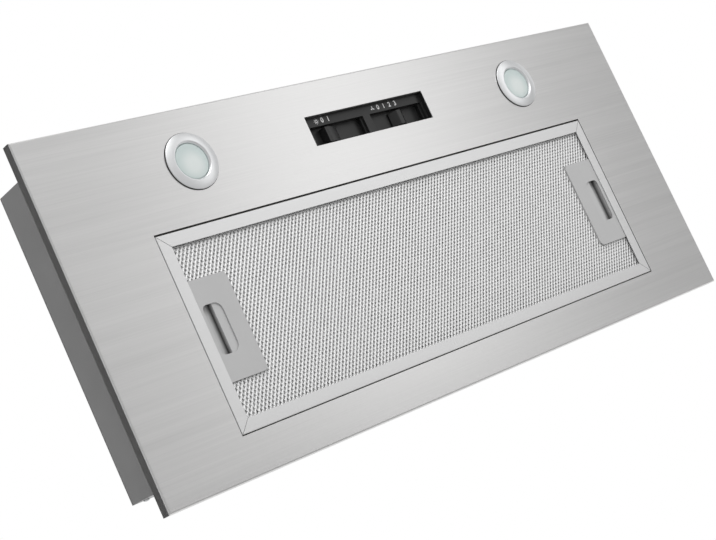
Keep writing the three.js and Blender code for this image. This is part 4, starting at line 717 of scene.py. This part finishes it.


def pocket_painted_shade():
    """How much of its own colour the plastic keeps under the painted shade in the finger pockets' deep
    corners.
    """
    group, entry, exit_ = open_group("pocket_painted_shade", [("Shade", "NodeSocketFloat")], [])
    group.nodes.remove(entry)
    place = add_node(group, "ShaderNodeTexCoord")
    axes = add_node(group, "ShaderNodeSeparateXYZ")
    depth = add_node(group, "ShaderNodeMapRange", {"From Min": POCKET_MOUTH_Z, "From Max": POCKET_FLOOR_Z})
    outwards = add_node(group, "ShaderNodeMath", operation="ABSOLUTE")
    across = add_node(group, "ShaderNodeMath", {1: POCKET_MIDDLE_X}, operation="SUBTRACT")
    aside = add_node(group, "ShaderNodeMath", operation="ABSOLUTE")
    corner = add_node(
        group, "ShaderNodeMapRange", {"From Min": 0.2 * POCKET_HALF, "From Max": 0.95 * POCKET_HALF},
    )
    shade_mask = add_node(group, "ShaderNodeMath", operation="MULTIPLY")
    shade = add_node(group, "ShaderNodeMath", {1: -POCKET_PAINTED_SHADE, 2: 1.0}, operation="MULTIPLY_ADD")
    link = group.links.new
    link(place.outputs["Object"], axes.inputs[0])
    link(axes.outputs["Z"], depth.inputs["Value"])
    link(axes.outputs["X"], outwards.inputs[0])
    link(outwards.outputs[0], across.inputs[0])
    link(across.outputs[0], aside.inputs[0])
    link(aside.outputs[0], corner.inputs["Value"])
    link(depth.outputs[0], shade_mask.inputs[0])
    link(corner.outputs[0], shade_mask.inputs[1])
    link(shade_mask.outputs[0], shade.inputs[0])
    link(shade.outputs[0], exit_.inputs["Shade"])
    return group


def with_pocket_shade(material):
    """Lays the painted shade of the finger pockets over a moulded material."""
    tree = material.node_tree
    tint = next(node for node in tree.nodes if node.type == "VECT_MATH")
    shade_mask = add_node(tree, "ShaderNodeGroup", node_tree=pocket_painted_shade())
    both = add_node(tree, "ShaderNodeMath", operation="MULTIPLY")
    tree.links.new(tint.inputs["Scale"].links[0].from_socket, both.inputs[0])
    tree.links.new(shade_mask.outputs["Shade"], both.inputs[1])
    tree.links.new(both.outputs[0], tint.inputs["Scale"])
    return material


def latch_spring(side):
    """The spring between a slider and its tray, left without a body."""
    node = "latch_spring_" + side
    spring = finish_piece(
        cad_shape(node), node + "_finished", None, ZINC_STEEL, [node], smooth=60,
    )
    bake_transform(spring)


LATCH_PLASTIC = moulded("latch_plastic", grey(201), 0.48)
# Slider and tray: grey plastic with painted shade in the finger pockets' deep corners.
POCKET_SHADED_PLASTIC = with_pocket_shade(moulded("pocket_shaded_plastic", grey(204), 0.48))
for side in ("left", "right"):
    eased("latch_cover_" + side, 0.3 * MM, LATCH_PLASTIC, segments=3, sharper_than=60)
    eased("latch_slider_" + side, 0.4 * MM, POCKET_SHADED_PLASTIC, segments=3)
    eased("latch_tray_" + side, 0.15 * MM, POCKET_SHADED_PLASTIC)
    latch_spring(side)

# ---------------------------------------------------------------- lamps
# Two round recessed lamps: a satin chrome ring with a sloping rim, a frosted lens set in it, a
# round board with its light chips, a cup and a spring clip that pulls the ring up to the face on
# a thin rubber gasket.
LAMP_X, LAMP_Y = 201 * MM, -101 * MM
# Profiles of (radius, height) in mm.
RING_PROFILE = [
    (24.15, -9.8), (24.15, -10.4), (24.07, -10.55), (23.85, -10.64), (17.5, -11.76), (17.1, -11.79),
    (16.75, -11.74), (16.45, -11.55), (15.75, -10.6), (15.5, -10.3), (15.5, -8.9), (20.2, -8.9),
    (20.2, -4.2), (22.0, -4.2), (22.0, -9.8),
]
LENS_PROFILE = [
    (0, -10.7), (4, -10.66), (8, -10.53), (11.5, -10.33), (14.2, -10.1), (15.0, -9.9), (15.2, -9.5),
    (15.2, -8.6), (19.9, -8.6), (19.9, -7.1), (0, -7.1),
]
# A dark rubber gasket that stands out past the ring's edge all round: a real gasket, and also a painted
# shadow line round the ring.
GASKET_PROFILE = [(22.3, -9.22), (24.6, -9.22), (24.6, -9.6), (24.4, -9.78), (22.3, -9.78)]
# Painted highlight: the lens is paler round a spot 3 mm to +Y of its middle and fades to its own deeper tint
# from 4 mm out to 15 mm.
PAINTED_HIGHLIGHT_INNER, PAINTED_HIGHLIGHT_OUTER = 4 * MM, 15 * MM
PAINTED_HIGHLIGHT_MIDDLE = (LAMP_X, LAMP_Y + 3 * MM, LENS_PROFILE[0][1] * MM)
HIGHLIGHT_GLASS = (linear(240), linear(247), linear(245), 1)
DEEP_GLASS = (linear(216), linear(229), linear(227), 1)


def in_mm(profile):
    """A profile in mm as metres."""
    return [(r * MM, z * MM) for r, z in profile]


def lamp_piece(name, profile, x, material, replaced=()):
    """A round piece of a lamp, turned about the lamp's centre."""
    bm = turned(in_mm(profile), 72)
    bmesh.ops.translate(bm, vec=(x, LAMP_Y, 0), verts=bm.verts)
    finish_piece(bm, name, "root", material, replaced, smooth=50)


def frosted_lens():
    """Frosted glass that is a little green in its depth, with a painted highlight that pales it round a spot
    near its middle.
    """
    material = bpy.data.materials.new("frosted_lens")
    material.use_nodes = True
    tree = material.node_tree
    shader = tree.nodes["Principled BSDF"]
    shader.inputs["IOR"].default_value = 1.49
    shader.inputs["Transmission Weight"].default_value = 0.05
    place = add_node(tree, "ShaderNodeTexCoord")
    frost = add_node(tree, "ShaderNodeTexNoise", {"Scale": 1800.0, "Detail": 3.0})
    axes = add_node(tree, "ShaderNodeSeparateXYZ")
    outwards = add_node(tree, "ShaderNodeMath", operation="ABSOLUTE")
    folded = add_node(tree, "ShaderNodeCombineXYZ")
    middle = add_node(tree, "ShaderNodeVectorMath", operation="DISTANCE")
    middle.inputs[1].default_value = PAINTED_HIGHLIGHT_MIDDLE
    painted_highlight = add_node(
        tree, "ShaderNodeMapRange", {"From Min": PAINTED_HIGHLIGHT_INNER, "From Max": PAINTED_HIGHLIGHT_OUTER},
        interpolation_type="SMOOTHSTEP",
    )
    tint = add_node(tree, "ShaderNodeMix", data_type="RGBA")
    tint.inputs[6].default_value = HIGHLIGHT_GLASS
    tint.inputs[7].default_value = DEEP_GLASS
    rough = add_node(tree, "ShaderNodeMath", {1: 0.15, 2: 0.32}, operation="MULTIPLY_ADD")
    bump = add_node(tree, "ShaderNodeBump", {"Strength": 0.15, "Distance": 0.0001})
    link = tree.links.new
    link(place.outputs["Object"], frost.inputs["Vector"])
    link(place.outputs["Object"], axes.inputs[0])
    link(axes.outputs["X"], outwards.inputs[0])
    link(outwards.outputs[0], folded.inputs["X"])
    link(axes.outputs["Y"], folded.inputs["Y"])
    link(axes.outputs["Z"], folded.inputs["Z"])
    link(folded.outputs[0], middle.inputs[0])
    link(middle.outputs["Value"], painted_highlight.inputs["Value"])
    link(painted_highlight.outputs[0], tint.inputs[0])
    link(tint.outputs[2], shader.inputs["Base Color"])
    link(frost.outputs["Fac"], rough.inputs[0])
    link(rough.outputs[0], shader.inputs["Roughness"])
    link(frost.outputs["Fac"], bump.inputs["Height"])
    link(bump.outputs[0], shader.inputs["Normal"])
    return material


SATIN_CHROME = brushed_metal(
    "satin_chrome", grey(228, -1), 0.34, across=1200.0, along=1200.0, depth=0.02, bump=0.02,
)
FROSTED_LENS = frosted_lens()
WHITE_PLASTIC = moulded("white_plastic", grey(222, 1), 0.5)
BOARD_GREEN = moulded("solder_mask", (0.05, 0.2, 0.11, 1), 0.4)
# Dark rubber of the gasket, partly a painted shadow line round the ring.
GASKET_RUBBER_AND_SHADOW = moulded("gasket_rubber_and_shadow", grey(38), 0.75)
for side, x in (("left", -LAMP_X), ("right", LAMP_X)):
    lamp_piece("ring_" + side, RING_PROFILE, x, SATIN_CHROME, ["lamp_ring_" + side])
    lamp_piece("lens_" + side, LENS_PROFILE, x, FROSTED_LENS, ["lamp_lens_" + side])
    lamp_piece("gasket_" + side, GASKET_PROFILE, x, GASKET_RUBBER_AND_SHADOW)
    eased("lamp_cup_" + side, 0.4 * MM, WHITE_PLASTIC)
    eased("lamp_clip_" + side, 0.1 * MM, ZINC_STEEL, sharper_than=60)
    coat("lamp_board_" + side, BOARD_GREEN)

# ---------------------------------------------------------------- controls
# A black bezel set deep in the face. Its label strip carries the marks, and two finger grips slide
# in the slots beside it: the light's from 0 to 1 and the fan's from 0 to 3.
BEZEL_BLACK = moulded("bezel_black", grey(36), 0.4)
GRIP_BLACK = moulded("grip_black", grey(38), 0.35)
for black in (BEZEL_BLACK, GRIP_BLACK):
    black.node_tree.nodes["Principled BSDF"].inputs["Specular IOR Level"].default_value = 0.4
MARK_WHITE = moulded("mark_white", grey(240), 0.6, depth=0.02, bump=0.02)
eased("switch_bezel", 0.25 * MM, BEZEL_BLACK)
eased("light_slider", 0.7 * MM, GRIP_BLACK, segments=3)
eased("fan_slider", 0.7 * MM, GRIP_BLACK, segments=3)
eased("switch_block", 0.5 * MM, BEZEL_BLACK)
LABEL_Z = -4.2 * MM
MARK_Y = -110.9 * MM
MARK_HEIGHT = 4.6 * MM
MARK_HALF_THICKNESS = 0.06 * MM
MARK_STEP = 7.3 * MM
TEXT_SIZE = 1.38 * MARK_HEIGHT
TEXT_WEIGHT = 0.03 * MARK_HEIGHT
BULB_RADIUS, BULB_HOLLOW = 1.5 * MM, 0.85 * MM
RAY_RADIUS, RAY_LENGTH, RAY_WIDTH = 2.2 * MM, 0.8 * MM, 0.45 * MM
HUB_RADIUS = 0.45 * MM
VANE_RADIUS, VANE_LENGTH, VANE_WIDTH = 1.2 * MM, 1.9 * MM, 1.0 * MM
LIGHT_SYMBOL_X, LIGHT_FIGURE_X = -55.2 * MM, -48.3 * MM
FAN_SYMBOL_X, FAN_FIGURE_X = 13.5 * MM, 20.5 * MM


def figure(bm, text, x):
    """A figure on the label strip, read from below."""
    curve = bpy.data.curves.new("figure", "FONT")
    curve.body = text
    curve.size = TEXT_SIZE
    curve.extrude = MARK_HALF_THICKNESS
    curve.offset = TEXT_WEIGHT
    curve.align_x = "CENTER"
    curve.align_y = "CENTER"
    curve.resolution_u = 4
    made = bpy.data.objects.new("figure", curve)
    bpy.context.scene.collection.objects.link(made)
    bpy.context.view_layer.update()
    mesh = bpy.data.meshes.new_from_object(made.evaluated_get(bpy.context.evaluated_depsgraph_get()))
    mesh.transform(Matrix.Translation((x, MARK_Y, LABEL_Z)) @ Matrix.Rotation(math.pi, 4, "X"))
    bm.from_mesh(mesh)
    bpy.data.objects.remove(made)
    bpy.data.curves.remove(curve)
    bpy.data.meshes.remove(mesh)


def disc(bm, radius, x, y, inner=0.0):
    """A flat round mark, or a ring, on the label strip."""
    half = MARK_HALF_THICKNESS
    part = turned([(inner, -half), (radius, -half), (radius, half), (inner, half)], 20)
    bmesh.ops.translate(part, vec=(x, y, LABEL_Z), verts=part.verts)
    add_shape(bm, part)


def spoke(bm, x, radius, length, width, degrees):
    """A flat bar that points away from a symbol's middle."""
    made = bmesh.ops.create_cube(bm, size=1)["verts"]
    turn_to = math.radians(degrees)
    pose = (
        Matrix.Translation((x + radius * math.cos(turn_to), MARK_Y + radius * math.sin(turn_to), LABEL_Z))
        @ Matrix.Rotation(turn_to, 4, "Z")
        @ Matrix.Diagonal((length, width, 2 * MARK_HALF_THICKNESS, 1))
    )
    bmesh.ops.transform(bm, matrix=pose, verts=made)


def marks(name, symbol_x, figures, first_x, symbol):
    """A symbol and its figures, as one piece."""
    bm = bmesh.new()
    symbol(bm, symbol_x)
    for i, text in enumerate(figures):
        figure(bm, text, first_x + i * MARK_STEP)
    finish_piece(bm, name, "root", MARK_WHITE)


def lamp_symbol(bm, x):
    disc(bm, BULB_RADIUS, x, MARK_Y, inner=BULB_HOLLOW)
    for degrees in range(0, 360, 45):
        spoke(bm, x, RAY_RADIUS, RAY_LENGTH, RAY_WIDTH, degrees)


def fan_symbol(bm, x):
    disc(bm, HUB_RADIUS, x, MARK_Y)
    for degrees in (270, 30, 150):
        spoke(bm, x, VANE_RADIUS, VANE_LENGTH, VANE_WIDTH, degrees)


marks("light_marks", LIGHT_SYMBOL_X, "01", LIGHT_FIGURE_X, lamp_symbol)
marks("fan_marks", FAN_SYMBOL_X, "0123", FAN_FIGURE_X, fan_symbol)

# ---------------------------------------------------------------- blower chamber
# A box of coated sheet on the deck keeps the blower's noise and air in. Its walls stand on turned
# feet that are screwed to the deck, and its lid's rim goes over them.
for node in ("chamber_front_wall", "chamber_rear_wall", "chamber_side_left", "chamber_side_right",
             "chamber_lid"):
    eased(node, CASING_EDGE, COATED_STEEL)
lid_low, lid_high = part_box("chamber_lid")
FOOT_TOP = DECK_TOP + 1.1 * MM
FOOT_MIDDLE = 6 * MM
front_foot_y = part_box("chamber_front_wall")[0].y + FOOT_MIDDLE
rear_foot_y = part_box("chamber_rear_wall")[1].y - FOOT_MIDDLE
side_foot_x = -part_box("chamber_side_left")[0].x - FOOT_MIDDLE
FOOT_SCREW_X = 110 * MM
RIM_SCREW_X = 120 * MM
RIM_MIDDLE = 6 * MM
chamber_middle = (lid_low.y + lid_high.y) / 2
quarter = (lid_high.y - lid_low.y) / 4
feet = []
for x in (-FOOT_SCREW_X, FOOT_SCREW_X):
    feet += [((x, y, FOOT_TOP), UP) for y in (front_foot_y, rear_foot_y)]
for x in (-side_foot_x, side_foot_x):
    feet += [((x, y, FOOT_TOP), UP) for y in (chamber_middle - quarter, chamber_middle + quarter)]
screws("chamber_foot_screws", feet)
rim_z = lid_high.z - RIM_MIDDLE
rim_screws = []
for x in (-RIM_SCREW_X, 0, RIM_SCREW_X):
    rim_screws += [((x, lid_low.y, rim_z), FRONT), ((x, lid_high.y, rim_z), REAR)]
for y in (chamber_middle - quarter, chamber_middle + quarter):
    rim_screws += [((lid_low.x, y, rim_z), LEFT), ((lid_high.x, y, rim_z), RIGHT)]
screws("lid_rim_screws", rim_screws, size=0.85)

# ---------------------------------------------------------------- blower
# A double-inlet wheel of forward-curved blades in a spiral scroll of zinc-plated sheet. The motor
# sits in the right-hand inlet on three arms, and its shaft carries the wheel.
WHEEL_CENTRE = Vector((0, 3, 105)) * MM
# Profiles of (radius, place along the shaft) in mm.
WHEEL_DISC = [(4.3, -0.8), (50, -0.8), (50, 0.8), (4.3, 0.8)]
WHEEL_HUB = [(4.3, 0), (10, 0), (10, -13.2), (9.2, -14), (4.3, -14)]
WHEEL_RING = [(40, 33.5), (50, 33.5), (50, 35), (40, 35)]
MOTOR_PROFILE = [
    (9.3, 5), (18, 5), (19.6, 5.4), (26.6, 12.2), (28, 14.5), (28, 26), (27, 26.4), (27, 42),
    (28, 42.4), (28, 53.5), (26.6, 55.8), (19.6, 62.6), (18, 63), (9.3, 63), (9.3, 55.7), (4.4, 55.7),
    (4.4, 12.3), (9.3, 12.3),
]
BLADES = 42
BLADE_INNER = 40.4 * MM
BLADE_REACH = 9.2 * MM
BLADE_SWEEP = 13  # degrees
BLADE_HALF_LENGTH = 34 * MM
BLADE_SHEET = 0.5 * MM
BLADE_STEPS = 5
ALONG_X = Matrix.Rotation(math.pi / 2, 4, "Y")
DARK_STEEL = mottled("dark_enamel", grey(88), 0.38, metallic=0.4, scale=90.0)
BRONZE = mottled("sintered_bronze", (linear(200), linear(160), linear(96), 1), 0.4, metallic=1.0, scale=500.0)
for node in ("scroll_wrap", "scroll_side_left", "scroll_side_right", "motor_bracket"):
    eased(node, 0.15 * MM, ZINC_STEEL)


def on_axis(bm):
    """Lays a shape that was made about Z onto the wheel's axis."""
    bmesh.ops.transform(bm, matrix=Matrix.Translation(WHEEL_CENTRE) @ ALONG_X, verts=bm.verts)
    return bm


def wheel_shape():
    """The wheel's disc, hub, end rings and blades."""
    bm = turned(in_mm(WHEEL_DISC), 84)
    add_shape(bm, turned(in_mm(WHEEL_HUB), 32))
    for side in (-1, 1):
        add_shape(bm, turned(in_mm([(r, side * z) for r, z in WHEEL_RING]), 84))
    blade = bmesh.new()
    line = []
    for i in range(BLADE_STEPS + 1):
        t = i / BLADE_STEPS
        radius = BLADE_INNER + BLADE_REACH * t
        lean = math.radians(BLADE_SWEEP) * t * t
        place = (radius * math.cos(lean), radius * math.sin(lean), -BLADE_HALF_LENGTH)
        line.append(blade.verts.new(place))
    edges = [blade.edges.new(pair) for pair in zip(line, line[1:])]
    made = bmesh.ops.extrude_edge_only(blade, edges=edges)["geom"]
    far_line = [v for v in made if isinstance(v, bmesh.types.BMVert)]
    bmesh.ops.translate(blade, vec=(0, 0, 2 * BLADE_HALF_LENGTH), verts=far_line)
    bmesh.ops.solidify(blade, geom=blade.faces[:] + blade.edges[:] + blade.verts[:], thickness=BLADE_SHEET)
    bmesh.ops.recalc_face_normals(blade, faces=blade.faces)
    mesh = bpy.data.meshes.new("blade")
    blade.to_mesh(mesh)
    blade.free()
    for i in range(BLADES):
        before = len(bm.verts)
        bm.from_mesh(mesh)
        bm.verts.ensure_lookup_table()
        step = Matrix.Rotation(2 * math.pi * i / BLADES, 3, "Z")
        bmesh.ops.rotate(bm, cent=(0, 0, 0), matrix=step, verts=bm.verts[before:])
    bpy.data.meshes.remove(mesh)
    return on_axis(bm)


finish_piece(wheel_shape(), "wheel_finished", "wheel", DARK_STEEL, ["blower_wheel"])
eased("motor_shaft", 0.3 * MM, ZINC_STEEL)
motor = on_axis(turned(in_mm(MOTOR_PROFILE), 64))
finish_piece(motor, "motor_finished", "root", DARK_STEEL, ["motor_body"], smooth=40)
for side in ("left", "right"):
    coat("motor_bearing_" + side, BRONZE)

# ---------------------------------------------------------------- duct collar
# A moulded black collar for a 120 mm duct, with grip beads round its outside. Two aluminium flaps
# on one steel pin lie on its inner ledge, and the air lifts them.
COLLAR_CENTRE = Vector((0, 42, 0)) * MM
COLLAR_BLACK = moulded("collar_black", grey(46), 0.45)
FLAP_ALUMINIUM = brushed_metal("flap_aluminium", grey(214), 0.4, depth=0.04)
GRIP_BEADS = (212, 219, 226)  # heights in mm
# A profile of (radius, height) in mm.
collar_profile = [
    (58.4, 190.3), (70.4, 190.3), (71, 190.9), (71, 192.3), (70.5, 192.8), (61.6, 192.8), (60.4, 193.6),
    (60, 195),
]
for z in GRIP_BEADS:
    collar_profile += [(60, z - 1.2), (60.7, z - 0.4), (60.7, z + 0.4), (60, z + 1.2)]
collar_profile += [
    (60, 234.6), (59.4, 235.3), (58.9, 235.3), (58.4, 234.8), (58.4, 198.3), (56.4, 198.3), (56.4, 196.3),
    (58.4, 196.3),
]
collar = turned(in_mm(collar_profile), 96)
bmesh.ops.translate(collar, vec=COLLAR_CENTRE, verts=collar.verts)
finish_piece(collar, "collar_finished", "root", COLLAR_BLACK, ["duct_collar"], smooth=40)
COLLAR_SCREW_RADIUS = 65.5 * MM
FLANGE_TOP = 192.8 * MM
flange_centre = Vector((COLLAR_CENTRE.x, COLLAR_CENTRE.y, FLANGE_TOP))
screws("collar_screws", [
    (flange_centre + COLLAR_SCREW_RADIUS * Vector((math.cos(a), math.sin(a), 0)), UP)
    for a in (math.radians(45 + 90 * i) for i in range(4))
])
eased("damper_flap_front", 0.15 * MM, FLAP_ALUMINIUM)
eased("damper_flap_rear", 0.15 * MM, FLAP_ALUMINIUM)
eased("damper_pin", 0.3 * MM, ZINC_STEEL)

# ---------------------------------------------------------------- electrics on the deck
# The supply cord comes in through a gland in the terminal box, and the motor's run capacitor is
# held down on the deck by a strap.
BOX_BLACK = moulded("box_black", grey(50), 0.5)
eased("terminal_box", 1.0 * MM, BOX_BLACK, segments=3)
eased("terminal_box_lid", 0.8 * MM, BOX_BLACK, segments=3)
LID_SCREW_INSET = 6 * MM
box_low, box_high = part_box("terminal_box_lid")
screws("terminal_box_screws", [
    ((x, y, box_high.z), UP)
    for x in (box_low.x + LID_SCREW_INSET, box_high.x - LID_SCREW_INSET)
    for y in (box_low.y + LID_SCREW_INSET, box_high.y - LID_SCREW_INSET)
], size=0.8)
gland_low, gland_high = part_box("cable_gland")
gland_y = (gland_low.y + gland_high.y) / 2
gland_z = (gland_low.z + gland_high.z) / 2
# A profile of (radius, distance from the box) in mm.
GLAND_PROFILE = [
    (3.6, -5), (5.6, -5), (5.6, 0.3), (8, 0.3), (8, 3.2), (6.9, 3.4), (6.9, 4.0), (7.7, 4.2), (7.7, 9.2),
    (7.2, 9.8), (6.0, 15.4), (5.4, 16), (3.6, 16),
]
gland = turned(in_mm(GLAND_PROFILE), 36)
bmesh.ops.transform(
    gland, matrix=Matrix.Translation((box_high.x, gland_y, gland_z)) @ ALONG_X, verts=gland.verts,
)
finish_piece(gland, "gland_finished", "root", BOX_BLACK, ["cable_gland"], smooth=30)
cap_low, cap_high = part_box("capacitor")
cap_middle = (cap_low + cap_high) / 2
cap_half = (cap_high.x - cap_low.x) / 2
cap_radius = (cap_high.z - cap_low.z) / 2
END_ROUNDING = 2 * MM
CRIMP = 1 * MM
can_profile = [
    (0, -cap_half), (cap_radius - END_ROUNDING, -cap_half),
    (cap_radius - 0.3 * END_ROUNDING, -cap_half + 0.3 * END_ROUNDING),
    (cap_radius, -cap_half + END_ROUNDING), (cap_radius, cap_half - CRIMP), (cap_radius - CRIMP, cap_half),
    (cap_radius - 2.4 * CRIMP, cap_half), (cap_radius - 3 * CRIMP, cap_half - CRIMP), (0, cap_half - CRIMP),
]
can = turned(can_profile, 48)
bmesh.ops.transform(can, matrix=Matrix.Translation(cap_middle) @ ALONG_X, verts=can.verts)
TAB_Y = 5 * MM
TAB_LOW = Vector((-1.2, -3.1, -0.4)) * MM
TAB_HIGH = Vector((7, 3.1, 0.4)) * MM
for name, y in (("capacitor_blade_front", -TAB_Y), ("capacitor_blade_rear", TAB_Y)):
    foot = Vector((cap_high.x, cap_middle.y + y, cap_middle.z))
    blade = bmesh.new()
    add_block(blade, foot + TAB_LOW, foot + TAB_HIGH)
    ease_edges(blade, 0.2 * MM)
    finish_piece(blade, name, "root", ZINC_STEEL)
finish_piece(can, "capacitor_finished", "root", WHITE_PLASTIC, ["capacitor"], smooth=40)
eased("capacitor_strap", 0.15 * MM, ZINC_STEEL)
STRAP_SHEET = 1 * MM
STRAP_FOOT_MIDDLE = 6 * MM
strap_low, strap_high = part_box("capacitor_strap")
screws("strap_screws", [
    ((cap_middle.x, y, strap_low.z + STRAP_SHEET), UP)
    for y in (strap_low.y + STRAP_FOOT_MIDDLE, strap_high.y - STRAP_FOOT_MIDDLE)
])
